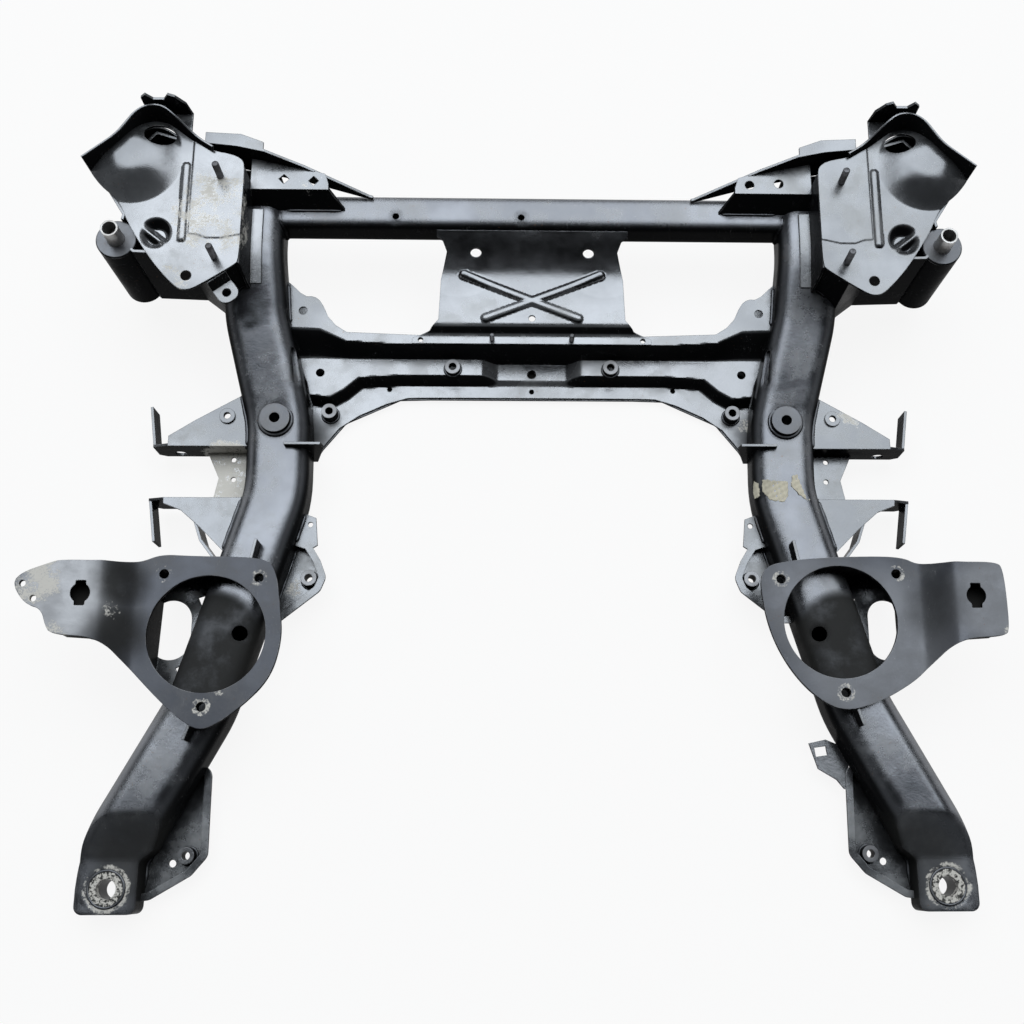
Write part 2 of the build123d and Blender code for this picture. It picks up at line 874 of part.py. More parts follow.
def gusset(hole_shape):
    """The left gusset channel with two holes of the given shape in its top."""
    with BuildPart() as channel:
        with BuildSketch(Plane.XY.offset(gusset_level - sheet)):
            with BuildLine():
                Polyline(
                    (deck_inner + weld_gap, gusset_front),
                    (deck_inner + weld_gap, 220),
                    (-262, 206),
                    (-238, 199),
                    (gusset_reach, 186),
                    (gusset_reach, gusset_front),
                    close=True,
                )
            make_face()
            with Locations(*gusset_hole_places):
                add(hole_shape, mode=Mode.SUBTRACT)
        extrude(amount=sheet)
        # The front wall leans forward down to the cross tube and the rail.
        with BuildSketch(Plane.YZ.offset(deck_inner + weld_gap)) as wall:
            with BuildLine():
                Polyline(
                    (gusset_front, gusset_level),
                    (gusset_wall_foot, tube_top + weld_gap),
                    (gusset_wall_foot + 1.2 * sheet, tube_top + weld_gap),
                    (gusset_front + 1.2 * sheet, gusset_level),
                    close=True,
                )
            make_face()
        extrude(wall.sketch, amount=gusset_wall_end - deck_inner)
        with BuildSketch(Plane.XZ.offset(-rail_rear)) as toe:
            with BuildLine():
                Polyline(
                    (gusset_reach, gusset_level),
                    (gusset_wall_end, tube_top),
                    (gusset_wall_end + sheet, tube_top),
                    (gusset_wall_end + sheet, gusset_level + 1),
                    (gusset_reach, gusset_level + 1),
                    close=True,
                )
            make_face()
        extrude(toe.sketch, amount=tube_depth, mode=Mode.SUBTRACT)
        add(rail_clearance, mode=Mode.SUBTRACT)
        add(flange_wall.part, mode=Mode.SUBTRACT)
    return channel


diamond = Sketch() + Rot(0, 0, 45) * Rectangle(0.8 * gusset_hole, 0.8 * gusset_hole)
round_hole = Sketch() + Circle(gusset_hole / 2)
write(gusset(diamond), "left_gusset")
with BuildPart() as right_gusset:
    mirror(gusset(round_hole).part, about=Plane.YZ)
write(right_gusset, "right_gusset")

with BuildPart() as gusset_flange:
    add(flange_wall.part)
    with BuildSketch(Plane.XY.offset(gusset_crest - sheet)):
        with BuildLine():
            Polyline(
                (-372, 227),
                (-335, 223),
                (-306, 217),
                (-306, 226),
                (-332, 236),
                (-372, 238),
                close=True,
            )
        make_face()
    extrude(amount=sheet)
    add(rail_clearance, mode=Mode.SUBTRACT)
    add(body_clearance.part, mode=Mode.SUBTRACT)

write_pair(gusset_flange, "gusset_flange")


# Clevis: rear and front pressings, the web between them and a curved brace

clevis_front_wall = clevis_rear_wall - sheet - clevis_gap
clevis_foot = clevis_top - clevis_drop

rear_shell_outline = [
    (-310, -30),
    (-334, -42),
    (-387, -73),
    (-416, -92),
    (-416, clevis_rear_wall),
    (-310, clevis_rear_wall),
]
front_shell_outline = [
    (-300, clevis_front_wall),
    (-416, clevis_front_wall),
    (-416, -172),
    (-396, -180),
    (-373, -200),
    (-341, -232),
    (-315, -232),
]
rear_return = [
    (clevis_outer + sheet / 2, clevis_rear_wall),
    (clevis_outer - 5, clevis_rear_wall + clevis_return),
]
front_return = [
    (clevis_outer + sheet / 2, clevis_front_wall),
    (clevis_outer + 9, clevis_front_wall - clevis_return - 4),
]

with BuildPart() as clevis_rear:
    block(rear_shell_outline, clevis_top - sheet, clevis_top)
    with BuildSketch(Plane.XZ.offset(-clevis_rear_wall)):
        with BuildLine():
            Polyline(
                (clevis_outer, clevis_foot + 6),
                (clevis_outer, clevis_top - 6),
                (-416, clevis_top),
                (-310, clevis_top),
                (-310, clevis_foot),
                (clevis_outer + 8, clevis_foot),
                close=True,
            )
        make_face()
        with Locations(clevis_bolt_place):
            Circle(clevis_bolt_hole / 2, mode=Mode.SUBTRACT)
    extrude(amount=sheet)
    upright(rear_return, clevis_foot + 6, clevis_top - 6)
    ring([(-350, -68)], 18, 8, clevis_top, 3)
    drill([(-350, -68)], 8, clevis_top - sheet, clevis_top)
    add(rail_clearance, mode=Mode.SUBTRACT)

write_pair(clevis_rear, "clevis_rear")

with BuildPart() as clevis_front:
    block(front_shell_outline, clevis_top - sheet, clevis_top)
    with BuildSketch(Plane.XZ.offset(-clevis_front_wall)):
        with BuildLine():
            Polyline(
                (clevis_outer, clevis_foot + 6),
                (clevis_outer, clevis_top - 6),
                (-416, clevis_top),
                (-310, clevis_top),
                (-310, clevis_foot),
                (clevis_outer + 8, clevis_foot),
                close=True,
            )
        make_face()
        with Locations(clevis_bolt_place):
            Circle(clevis_bolt_hole / 2, mode=Mode.SUBTRACT)
    extrude(amount=sheet)
    upright(front_return, clevis_foot + 6, clevis_top - 6)
    add(rail_clearance, mode=Mode.SUBTRACT)

write_pair(clevis_front, "clevis_front")

with BuildPart() as clevis_web:
    with BuildSketch(Plane.XY.offset(clevis_web_level - sheet)):
        with BuildLine():
            Polyline(
                (-376, clevis_rear_wall - sheet),
                (-310, clevis_rear_wall - sheet),
                (-310, clevis_front_wall),
                (-368, clevis_front_wall),
                (-362, clevis_front_wall + clevis_gap / 2),
                close=True,
            )
        make_face()
    extrude(amount=sheet)
    drill(web_hole_places, small_hole, clevis_web_level - sheet - 1, clevis_web_level + 1)
    add(rail_clearance, mode=Mode.SUBTRACT)

write_pair(clevis_web, "clevis_web")

with BuildPart() as clevis_brace:
    upright(
        [(-379, clevis_front_wall - sheet - weld_gap), (-381, -188), (-372, -214), (-352, -240)],
        clevis_foot,
        clevis_top - sheet,
    )
    add(rail_clearance, mode=Mode.SUBTRACT)

write_pair(clevis_brace, "clevis_brace")


# Pan brackets inboard of the rails


def pan(outline, floor, rim):
    """A pressed pan: floor, wall and a narrow flange turned out at the rim."""
    with BuildPart() as hollow:
        block(outline, floor, rim, sheet, pan_corner)
    with BuildPart() as pressing:
        block(outline, floor - sheet, rim - sheet, 0, pan_corner)
        block(outline, rim - sheet, rim, -pan_flange, pan_corner)
        add(hollow.part, mode=Mode.SUBTRACT)
        add(rail_clearance, mode=Mode.SUBTRACT)
    return pressing


pocket_outline = [
    (-310, -200),
    (-262, -206),
    (-244, -235),
    (-237, -253),
    (-242, -266),
    (-284, -300),
    (-320, -300),
]
ear_outline = [(-290, -182), (-262, -178), (-246, -184), (-243, -216), (-252, -222), (-276, -214)]

with BuildPart() as pocket_bracket:
    add(pan(pocket_outline, pocket_floor, pocket_rim).part)
    block(ear_outline, pocket_rim - sheet, pocket_rim)
    drill([pocket_nut_place], nut_bore, pocket_floor - sheet - 1, pocket_floor + 1)
    drill([(-252, -192)], small_hole, pocket_rim - sheet - 1, pocket_rim + 1)
    add(rail_clearance, mode=Mode.SUBTRACT)

write_pair(pocket_bracket, "pocket_bracket")

with BuildPart() as pocket_nuts:
    ring(both_sides(pocket_nut_place), nut_diameter, nut_bore, pocket_floor, pocket_nut_height)

write(pocket_nuts, "pocket_nuts")

front_outline = [
    (-400, -455),
    (-359, -466),
    (-353, -470),
    (-352, -556),
    (-367, -574),
    (-408, -598),
    (-425, -600),
    (-425, -500),
]

with BuildPart() as front_bracket:
    add(pan(front_outline, front_floor, front_rim).part)
    drill([front_nut_place], nut_bore, front_floor - sheet - 1, front_floor + 1)
    drill([front_hole_place], small_hole + 2, front_floor - sheet - 1, front_floor + 1)

write_pair(front_bracket, "front_bracket")

with BuildPart() as front_nuts:
    ring(both_sides(front_nut_place), nut_diameter, nut_bore, front_floor, front_nut_height)

write(front_nuts, "front_nuts")

# Two tabs on the right front bracket only
front_tab_outline = [
    (352, -452),
    (345, -441),
    (328, -434),
    (309, -438),
    (318, -466),
    (338, -478),
    (346, -488),
    (352, -488),
]

with BuildPart() as right_front_tab:
    block(front_tab_outline, front_rim - sheet, front_rim)
    with BuildSketch(Plane.XY.offset(front_rim - sheet)):
        with Locations((322, -447)):
            Rectangle(13, 10, rotation=8)
    extrude(amount=sheet, mode=Mode.SUBTRACT)
    mirror(front_bracket.part, about=Plane.YZ, mode=Mode.SUBTRACT)
    add(right_rail_clearance, mode=Mode.SUBTRACT)

write(right_front_tab, "right_front_tab")


# Engine-mount plates: a flat ring, a rising wall and a wing, in one pressing

left_plate = {
    "outline": [
        (-423, -250),
        (-401, -241),
        (-371, -243),
        (-293, -244),
        (-277, -256),
        (-270, -302),
        (-267, -335),
        (-277, -376),
        (-307, -407),
        (-338, -429),
        (-356, -429),
        (-385, -407),
        (-427, -365),
    ],
    "wing": [
        (-420, -250),
        (-452, -255),
        (-499, -254),
        (-511, -258),
        (-538, -268),
        (-547, -279),
        (-531, -298),
        (-512, -304),
        (-508, -325),
        (-502, -334),
        (-452, -337),
        (-427, -365),
        (-410, -365),
    ],
    "opening": (-348, -328),
    "diameter": 127.0,
    "bolts": [(-397, -263), (-295, -267), (-348, -406)],
    "keyhole": (-475, -290),
    "wing_holes": [(-536, -280), (-523.5, -296)],
    "bend": -425,
    "skirt": [(-500, -332), (-453, -335.5), (-428, -363), (-400, -391)],
    "oval": (-404, -312),
    "oval_size": (45, 68),
    "bites": [[(-376, -275), (-358, -269), (-368, -292)], [(-396, -355), (-381, -347), (-388, -373)]],
}
right_plate = {
    "outline": [
        (252, -259),
        (267, -248),
        (328, -242),
        (406, -241),
        (425, -251),
        (426, -366),
        (412, -379),
        (378, -399),
        (337, -412),
        (306, -398),
        (278, -367),
        (258, -326),
        (250, -279),
    ],
    "wing": [
        (420, -248),
        (458, -254),
        (500, -254),
        (508, -261),
        (509, -328),
        (503, -335),
        (455, -337),
        (426, -366),
        (410, -360),
    ],
    "opening": (336, -314),
    "diameter": 124.0,
    "bolts": [(400, -261), (273, -267), (337, -391)],
    "keyhole": (476, -291),
    "wing_holes": [],
    "bend": 425,
    "skirt": [(501, -333), (455, -335.5), (427, -364), (405, -381)],
    "oval": (403, -311),
    "oval_size": (38, 69),
    "bites": [[(371, -275), (354, -269), (364, -292)], [(394, -355), (379, -347), (386, -373)]],
}


def plate_section(plate, bottom, top):
    """The plate's cross-section between two offsets: flat, rising at the bend and flat on the wing."""
    side = 1 if plate["bend"] > 0 else -1
    bend = plate["bend"]
    rise = wing_level - mount_level
    with BuildPart() as band:
        with BuildSketch(Plane.XZ):
            with BuildLine():
                Polyline(
                    (side * 200, mount_level + bottom),
                    (bend, mount_level + bottom),
                    (bend + side * rise, wing_level + bottom),
                    (side * 600, wing_level + bottom),
                    (side * 600, wing_level + top),
                    (bend + side * rise, wing_level + top),
                    (bend, mount_level + top),
                    (side * 200, mount_level + top),
                    close=True,
                )
            make_face()
        extrude(amount=-rail_front)
    return band.part


def mount_plate(plate):
    """The pressed mount plate with its opening, bolt holes, wing and front skirt."""
    with BuildPart() as skirt:
        upright(plate["skirt"], skirt_foot, deck_level)
        add(plate_section(plate, -4 * heavy_sheet, -heavy_sheet / 2), mode=Mode.INTERSECT)
    with BuildPart() as ring_and_wing:
        block(plate["outline"], skirt_foot, deck_level, 0, plate_corner)
        block(plate["wing"], skirt_foot, deck_level, 0, wing_corner)
        add(plate_section(plate, -heavy_sheet, 0), mode=Mode.INTERSECT)
        drill([plate["opening"]], plate["diameter"], skirt_foot, deck_level)
        drill(plate["bolts"], mount_bolt_hole, skirt_foot, deck_level)
        if plate["wing_holes"]:
            drill(plate["wing_holes"], wing_hole, skirt_foot, deck_level)
        with BuildSketch(Plane.XY.offset(mount_level)):
            with Locations(plate["keyhole"]):
                Circle(keyhole_diameter / 2)
                Rectangle(keyhole_notch, keyhole_length)
        extrude(amount=deck_level - mount_level, mode=Mode.SUBTRACT)
        add(skirt.part)
    return ring_and_wing


def plate_support(plate):
    """The deep pressing under the outboard half of the plate, with an oval hole in its floor."""
    roof = mount_level - heavy_sheet
    with BuildPart() as hollow:
        block(plate["outline"], support_floor, roof, support_inset + sheet, plate_corner)
    with BuildPart() as support:
        block(plate["outline"], support_floor - sheet, roof, support_inset, plate_corner)
        add(hollow.part, mode=Mode.SUBTRACT)
        with BuildSketch(Plane.XY.offset(support_floor - sheet)):
            with Locations(plate["oval"]):
                SlotOverall(plate["oval_size"][1], plate["oval_size"][0], rotation=90)
            for bite in plate["bites"]:
                with BuildLine():
                    Polyline(*bite, close=True)
                make_face()
        extrude(amount=sheet, mode=Mode.SUBTRACT)
    return support


left_mount_plate = mount_plate(left_plate)
write(left_mount_plate, "left_mount_plate")
right_mount_plate = mount_plate(right_plate)
write(right_mount_plate, "right_mount_plate")

with BuildPart() as keep_outboard:
    with BuildSketch(Plane.XY):
        with BuildLine():
            Polyline(
                (-308, -228),
                (-328, -293),
                (-344, -350),
                (-363, -405),
                (-375, -440),
                (-600, -440),
                (-600, -228),
                close=True,
            )
        make_face()
    extrude(amount=mount_level)

with BuildPart() as left_support:
    add(plate_support(left_plate).part)
    add(keep_outboard.part, mode=Mode.INTERSECT)
    add(rail_clearance, mode=Mode.SUBTRACT)

write(left_support, "left_plate_support")

with BuildPart() as right_support:
    add(plate_support(right_plate).part)
    mirror(keep_outboard.part, about=Plane.YZ, mode=Mode.INTERSECT)
    add(right_rail_clearance, mode=Mode.SUBTRACT)

write(right_support, "right_plate_support")

# Weld nuts under the plates' bolt holes, and small gussets from the rails up to the plates

with BuildPart() as mount_nuts:
    ring(
        left_plate["bolts"] + right_plate["bolts"],
        mount_nut_diameter,
        mount_bolt_hole,
        mount_level - heavy_sheet - mount_nut_height,
        mount_nut_height,
    )

write(mount_nuts, "mount_nuts")

with BuildPart() as plate_gussets:
    upright([(-302, -222), (-309, -258)], rail_level, mount_level - heavy_sheet)
    upright([(-366, -440), (-358.5, -418)], rail_level, mount_level - heavy_sheet)
    add(rail_clearance, mode=Mode.SUBTRACT)

write(plate_gussets, "left_plate_gussets")

with BuildPart() as right_plate_gussets:
    upright([(290, -222), (297, -258)], rail_level, mount_level - heavy_sheet)
    upright([(356, -425), (349, -404)], rail_level, mount_level - heavy_sheet)
    add(right_rail_clearance, mode=Mode.SUBTRACT)

write(right_plate_gussets, "right_plate_gussets")
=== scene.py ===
import json
import bpy
import numpy as np
from mathutils import Matrix, Vector
from mathutils.bvhtree import BVHTree


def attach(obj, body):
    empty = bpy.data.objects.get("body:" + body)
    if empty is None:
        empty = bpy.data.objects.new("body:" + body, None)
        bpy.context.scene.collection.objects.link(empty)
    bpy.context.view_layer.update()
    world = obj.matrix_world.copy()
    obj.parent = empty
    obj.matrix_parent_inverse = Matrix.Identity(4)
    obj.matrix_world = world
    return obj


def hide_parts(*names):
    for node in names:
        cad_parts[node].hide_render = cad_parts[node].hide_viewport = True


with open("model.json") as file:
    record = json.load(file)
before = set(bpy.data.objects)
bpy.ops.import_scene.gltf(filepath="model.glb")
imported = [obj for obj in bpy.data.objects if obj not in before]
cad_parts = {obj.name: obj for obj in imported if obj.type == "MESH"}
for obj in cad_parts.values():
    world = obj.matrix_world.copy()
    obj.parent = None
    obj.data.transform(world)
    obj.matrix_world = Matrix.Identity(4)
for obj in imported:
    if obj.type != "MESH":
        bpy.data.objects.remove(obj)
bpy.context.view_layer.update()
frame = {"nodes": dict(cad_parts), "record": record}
print("frame in place:", len(frame["nodes"]), "nodes")

scene = bpy.context.scene
scene.view_settings.view_transform = "Standard"


# A small wrapper that lays shader nodes in one line each
class Finish:
    def __init__(self, name):
        self.material = bpy.data.materials.new(name)
        self.material.use_nodes = True
        self.tree = self.material.node_tree
        self.tree.nodes.clear()
        self.output = self.tree.nodes.new("ShaderNodeOutputMaterial")
        self.shader = self.tree.nodes.new("ShaderNodeBsdfPrincipled")
        self.tree.links.new(self.shader.outputs[0], self.output.inputs["Surface"])
        self.place = self.tree.nodes.new("ShaderNodeTexCoord").outputs["Object"]

    # A socket gets a link from another node, or a plain value
    def put(self, socket, value):
        if isinstance(value, bpy.types.NodeSocket):
            self.tree.links.new(value, socket)
        else:
            socket.default_value = value

    # Sets one of the shader's own inputs
    def give(self, name, value):
        self.put(self.shader.inputs[name], value)

    # One operation on up to three values
    def math(self, operation, a, b=0.0, c=0.0):
        node = self.tree.nodes.new("ShaderNodeMath")
        node.operation = operation
        for socket, value in zip(node.inputs, (a, b, c)):
            self.put(socket, value)
        return node.outputs[0]

    # Product of two values
    def times(self, a, b):
        return self.math("MULTIPLY", a, b)

    # Larger of two values
    def larger(self, a, b):
        return self.math("MAXIMUM", a, b)

    # One less a value
    def rest(self, value):
        return self.math("SUBTRACT", 1.0, value)

    # One operation on two vectors; a dot product or a distance comes out as a value
    def vector(self, operation, a, b):
        node = self.tree.nodes.new("ShaderNodeVectorMath")
        node.operation = operation
        self.put(node.inputs[0], a)
        self.put(node.inputs[1], b)
        return node.outputs["Value"] if operation in ("DOT_PRODUCT", "DISTANCE") else node.outputs[0]

    # Smooth noise over the piece, drawn finer along an axis by its share of stretch
    def noise(self, scale, detail, rough, stretch=None):
        node = self.tree.nodes.new("ShaderNodeTexNoise")
        self.put(node.inputs["Scale"], scale)
        self.put(node.inputs["Detail"], detail)
        self.put(node.inputs["Roughness"], rough)
        where = self.vector("MULTIPLY", self.place, stretch) if stretch else self.place
        self.put(node.inputs["Vector"], where)
        return node.outputs[0]

    # Distance to the nearest of many scattered points
    def cells(self, scale):
        node = self.tree.nodes.new("ShaderNodeTexVoronoi")
        self.put(node.inputs["Scale"], scale)
        self.put(node.inputs["Vector"], self.place)
        return node.outputs["Distance"]

    # Smooth step from start to end as the value goes from low to high
    def ramp(self, value, low, high, start=0.0, end=1.0):
        node = self.tree.nodes.new("ShaderNodeMapRange")
        node.interpolation_type = "SMOOTHSTEP"
        for socket, number in zip(node.inputs, (value, low, high, start, end)):
            self.put(socket, number)
        return node.outputs[0]

    # Colour a where the amount is 0, colour b where it is 1
    def mix(self, amount, a, b):
        node = self.tree.nodes.new("ShaderNodeMix")
        node.data_type = "RGBA"
        self.put(node.inputs["Factor"], amount)
        self.put(node.inputs["A"], (*a, 1.0) if isinstance(a, tuple) else a)
        self.put(node.inputs["B"], (*b, 1.0) if isinstance(b, tuple) else b)
        return node.outputs["Result"]

    # The surface's direction tilted by the slope of a height, which is a distance in metres where it is 1
    def bump(self, height, distance, normal=None):
        node = self.tree.nodes.new("ShaderNodeBump")
        self.put(node.inputs["Strength"], 1.0)
        self.put(node.inputs["Distance"], distance)
        self.put(node.inputs["Height"], height)
        if normal:
            self.put(node.inputs["Normal"], normal)
        return node.outputs[0]

    # The surface's direction with its sharp edges rounded off
    def rounded(self, radius):
        bevel = self.tree.nodes.new("ShaderNodeBevel")
        bevel.samples = 4
        self.put(bevel.inputs["Radius"], radius)
        return bevel.outputs[0]

    # How near the point is to an edge: one less the rounded direction's share along the true one
    def edge(self, radius):
        true = self.tree.nodes.new("ShaderNodeNewGeometry").outputs["Normal"]
        return self.rest(self.vector("DOT_PRODUCT", self.rounded(radius), true))

    # 1 where the surface faces up or a little to the rear, 0 on walls, undersides and front slopes: the mask
    # that paints light on the tops and shade on the rest
    def upward(self, low, high, radius):
        return self.ramp(self.vector("DOT_PRODUCT", self.rounded(radius), coating["paintedLight"]), low, high)

    # A piece's own value, 0 on pieces that have none
    def attribute(self, name):
        node = self.tree.nodes.new("ShaderNodeAttribute")
        node.attribute_name = name
        return node.outputs["Fac"]

    # A mark's amount inside its disc, falling to 0 from its inner to its outer radius
    def blot(self, mark):
        centre, inner, outer, amount = mark
        offset = self.vector("DISTANCE", self.place, centre)
        return self.times(self.ramp(offset, inner, outer, 1.0, 0.0), amount)


# Black dipped coating: weathered grey and glossy where it faces the painted light, near-black and dull on
# the walls as painted shade
coating = {
    # wall: near-black painted shade for every face turned away from the painted light
    "wall": (0.0075, 0.0078, 0.0085),
    "bare": (0.46, 0.46, 0.47),
    "rust": (0.19, 0.10, 0.055),
    "flake": (0.74, 0.72, 0.67),
    # Dark colour of dirt, and of painted shade in recesses and under parts
    "soilAndShade": (0.030, 0.030, 0.029),
    "paper": (0.66, 0.62, 0.50),
    "clean": (0.40, 0.412, 0.435),
    "darkShare": 0.72,
    # Direction of the painted light: faces turned to it take the top colour and sheen, the rest the wall's
    # near-black
    "paintedLight": (0.0, 0.45, 0.893),
    # Scale, detail and roughness of the noises: broad, cloud, patch, fine and grit
    "noises": [(7.0, 4.0, 0.55), (21.0, 5.0, 0.62), (55.0, 5.0, 0.65), (420.0, 3.0, 0.6), (1600.0, 2.0, 0.5)],
    "chipScale": 190.0,
    "scratchNoise": (38.0, 2.0, 0.4),
    "scratchStretch": (9.0, 1.0, 3.0),
    "edgeRadius": 0.0014,
    # Each mask climbs between two values of what it reads; the last two, if given, are its ends
    "facingUp": (0.34, 0.86),
    "wipedSlope": (0.10, 0.40),
    "dustCloud": (0.40, 0.66),
    "dustPatch": (0.30, 0.66, 0.25, 1.0),
    "topPatch": (0.38, 0.62),
    "chipSize": (0.085, 0.05),
    "chipPatch": (0.53, 0.66),
    "rustSize": (0.66, 0.73),
    "rustCloud": (0.5, 0.62),
    "scratchWidth": (0.004, 0.0),
    "scratchPatch": (0.5, 0.66),
    "edgeTurn": (0.05, 0.22),
    "edgePatch": (0.44, 0.58),
    "dirtAndShadeCloud": (0.30, 0.52, 0.7, 1.0),
    "flakeEdge": (0.98, 1.10, 0.0, 0.92),
    "paperCloud": (0.4, 0.62),
    # How much of each layer shows, and what it adds to the roughness or takes from the sheen
    "chipShown": 0.6,
    "rustShown": 0.75,
    "scratchShown": 0.5,
    "flakeOfPatch": 0.6,
    "flakeOfFine": 0.4,
    "dustRough": 0.22,
    "cloudRough": 0.30,
    "patchRough": 0.14,
    "markRough": 0.30,
    "dustSheen": -0.6,
    "wallGloss": 0.004,
    "wave": 0.0009,
    "waveOfCloud": 0.35,
    "grain": 0.00005,
    "grainOfGrit": 0.5,
}


# A colour times the coating's dark share
def darker(colour):
    return tuple(coating["darkShare"] * part for part in colour)


# top is the weathered colour of up-facing faces, pale the colour of its dusty patches; faces turned away from
# the painted light take the wall's near-black as painted shade. Each layer is mixed over those before it
# by a mask, which is a product of smooth steps over the noises
def coatedSteel(name, top, pale, dusty, wear, gloss=0.30, sheen=0.85, soft=0.0011,
                flaked=(), dirtAndShade=(), cleaned=(), wiped=(), scraps=False):
    finish = Finish(name)
    broad, cloud, patch, fine, grit = [finish.noise(*noise) for noise in coating["noises"]]
    # Painted light: 1 on faces turned to the painted light's direction, 0 on walls, which take painted shade
    paintedLight = finish.upward(*coating["facingUp"], soft)
    # Dust settles in soft clouds on what faces up
    dust = finish.times(finish.ramp(cloud, *coating["dustCloud"]), finish.ramp(patch, *coating["dustPatch"]))
    dust = finish.times(dust, dusty)
    # Wiped places keep the mirror-like new coating on their slopes too, and with it the painted light's
    # colour
    polish = 0.0
    for mark in wiped:
        polish = finish.larger(polish, finish.blot(mark))
    dust = finish.times(dust, finish.rest(polish))
    paintedLight = finish.larger(paintedLight, finish.times(polish, finish.upward(*coating["wipedSlope"], soft)))
    worn = finish.mix(finish.ramp(broad, *coating["topPatch"]), top, darker(top))
    worn = finish.mix(dust, worn, pale)
    for mark in cleaned:
        worn = finish.mix(finish.blot(mark), worn, coating["clean"])
    # Painted light and shade: the worn colour on faces turned to the painted light, the wall's near-black
    # elsewhere
    colour = finish.mix(paintedLight, coating["wall"], worn)
    # Small pale chips, rust specks and long thin handling scratches
    chips = finish.times(finish.ramp(finish.cells(coating["chipScale"]), *coating["chipSize"]),
                         finish.ramp(patch, *coating["chipPatch"]))
    colour = finish.mix(finish.times(chips, coating["chipShown"]), colour, coating["bare"])
    specks = finish.times(finish.ramp(fine, *coating["rustSize"]), finish.ramp(cloud, *coating["rustCloud"]))
    colour = finish.mix(finish.times(specks, coating["rustShown"]), colour, coating["rust"])
    lines = finish.noise(*coating["scratchNoise"], coating["scratchStretch"])
    thin = finish.ramp(finish.math("ABSOLUTE", finish.math("SUBTRACT", lines, 0.5)), *coating["scratchWidth"])
    scratch = finish.times(thin, finish.ramp(patch, *coating["scratchPatch"]))
    colour = finish.mix(finish.times(scratch, coating["scratchShown"]), colour, coating["bare"])
    # Coating rubbed off along the edges and around what has been bolted on
    rubbed = finish.times(finish.ramp(finish.edge(coating["edgeRadius"]), *coating["edgeTurn"]),
                          finish.ramp(patch, *coating["edgePatch"]))
    colour = finish.mix(finish.times(rubbed, wear), colour, coating["bare"])
    # Pieces marked as painted shade, and places of thick dirt and of painted shade, go dark; then where the
    # coating has flaked pale; all take the sheen away
    dulled = finish.attribute("paintedShade")
    for mark in dirtAndShade:
        darkening = finish.times(finish.blot(mark), finish.ramp(cloud, *coating["dirtAndShadeCloud"]))
        dulled = finish.larger(dulled, darkening)
    colour = finish.mix(dulled, colour, coating["soilAndShade"])
    flakes = finish.math("ADD", finish.times(patch, coating["flakeOfPatch"]),
                         finish.times(fine, coating["flakeOfFine"]))
    for mark in flaked:
        loose = finish.ramp(finish.math("ADD", flakes, finish.blot(mark)), *coating["flakeEdge"])
        colour = finish.mix(loose, colour, coating["flake"])
        dulled = finish.larger(dulled, loose)
    if scraps:
        paper = finish.attribute("paper")
        shade = finish.ramp(cloud, *coating["paperCloud"])
        colour = finish.mix(paper, colour, finish.mix(shade, coating["paper"], darker(coating["paper"])))
        dulled = finish.larger(dulled, paper)
    finish.give("Base Color", colour)
    # Roughness: the gloss given, plus shares of the dust, of two noises about their middle and of the marks
    dull = finish.math("ADD", gloss, finish.times(dust, coating["dustRough"]))
    for noise, share in ((cloud, coating["cloudRough"]), (patch, coating["patchRough"])):
        dull = finish.math("ADD", dull, finish.times(finish.math("SUBTRACT", noise, 0.5), share))
    finish.give("Roughness", finish.math("ADD", dull, finish.times(dulled, coating["markRough"])))
    # Painted sheen: metal-like only on faces turned to the painted light, less of it under dust, flakes and
    # dark marks; walls stay black and dull as painted shade
    shine = finish.larger(finish.math("MULTIPLY_ADD", dust, coating["dustSheen"], sheen), polish)
    finish.give("Metallic", finish.times(finish.times(shine, paintedLight), finish.rest(dulled)))
    finish.give("Specular IOR Level", coating["wallGloss"])
    waves = finish.math("ADD", broad, finish.times(cloud, coating["waveOfCloud"]))
    grains = finish.math("ADD", fine, finish.times(grit, coating["grainOfGrit"]))
    wavy = finish.bump(waves, coating["wave"], finish.rounded(soft))
    finish.give("Normal", finish.bump(grains, coating["grain"], wavy))
    return finish.material


# Plain steel: its noises, the masks that climb over them, and its grain
steel = {
    "patchNoise": (70.0, 4.0, 0.6),
    "fineNoise": (900.0, 3.0, 0.6),
    "flakeNoise": (260.0, 4.0, 0.7),
    "tintPatch": (0.35, 0.65),
    "flakeEdge": (0.98, 1.08, 0.0, 0.92),
    "speckle": 0.3,
    "gloss": 0.05,
    "grain": 0.00005,
    "edgeRadius": 0.0008,
}


# Its colour goes to the tint in patches, with dirt and then pale flakes mixed over; both dull the metal
def plainSteel(name, colour, tint, roughness, metallic, dirtAndShade=(), flaked=()):
    finish = Finish(name)
    fine = finish.noise(*steel["fineNoise"])
    shown = finish.mix(finish.ramp(finish.noise(*steel["patchNoise"]), *steel["tintPatch"]), colour, tint)
    dulled = 0.0
    for mark in dirtAndShade:
        darkening = finish.blot(mark)
        shown = finish.mix(darkening, shown, coating["soilAndShade"])
        dulled = finish.larger(dulled, darkening)
    for mark in flaked:
        flakes = finish.math("ADD", finish.noise(*steel["flakeNoise"]), finish.blot(mark))
        loose = finish.ramp(flakes, *steel["flakeEdge"])
        shown = finish.mix(loose, shown, coating["flake"])
        dulled = finish.larger(dulled, loose)
    finish.give("Base Color", shown)
    speckle = finish.times(finish.math("SUBTRACT", fine, 0.5), steel["speckle"])
    finish.give("Roughness", finish.math("ADD", roughness, speckle))
    finish.give("Metallic", finish.times(finish.rest(dulled), metallic))
    finish.give("Specular IOR Level", steel["gloss"])
    finish.give("Normal", finish.bump(fine, steel["grain"], finish.rounded(steel["edgeRadius"])))
    return finish.material


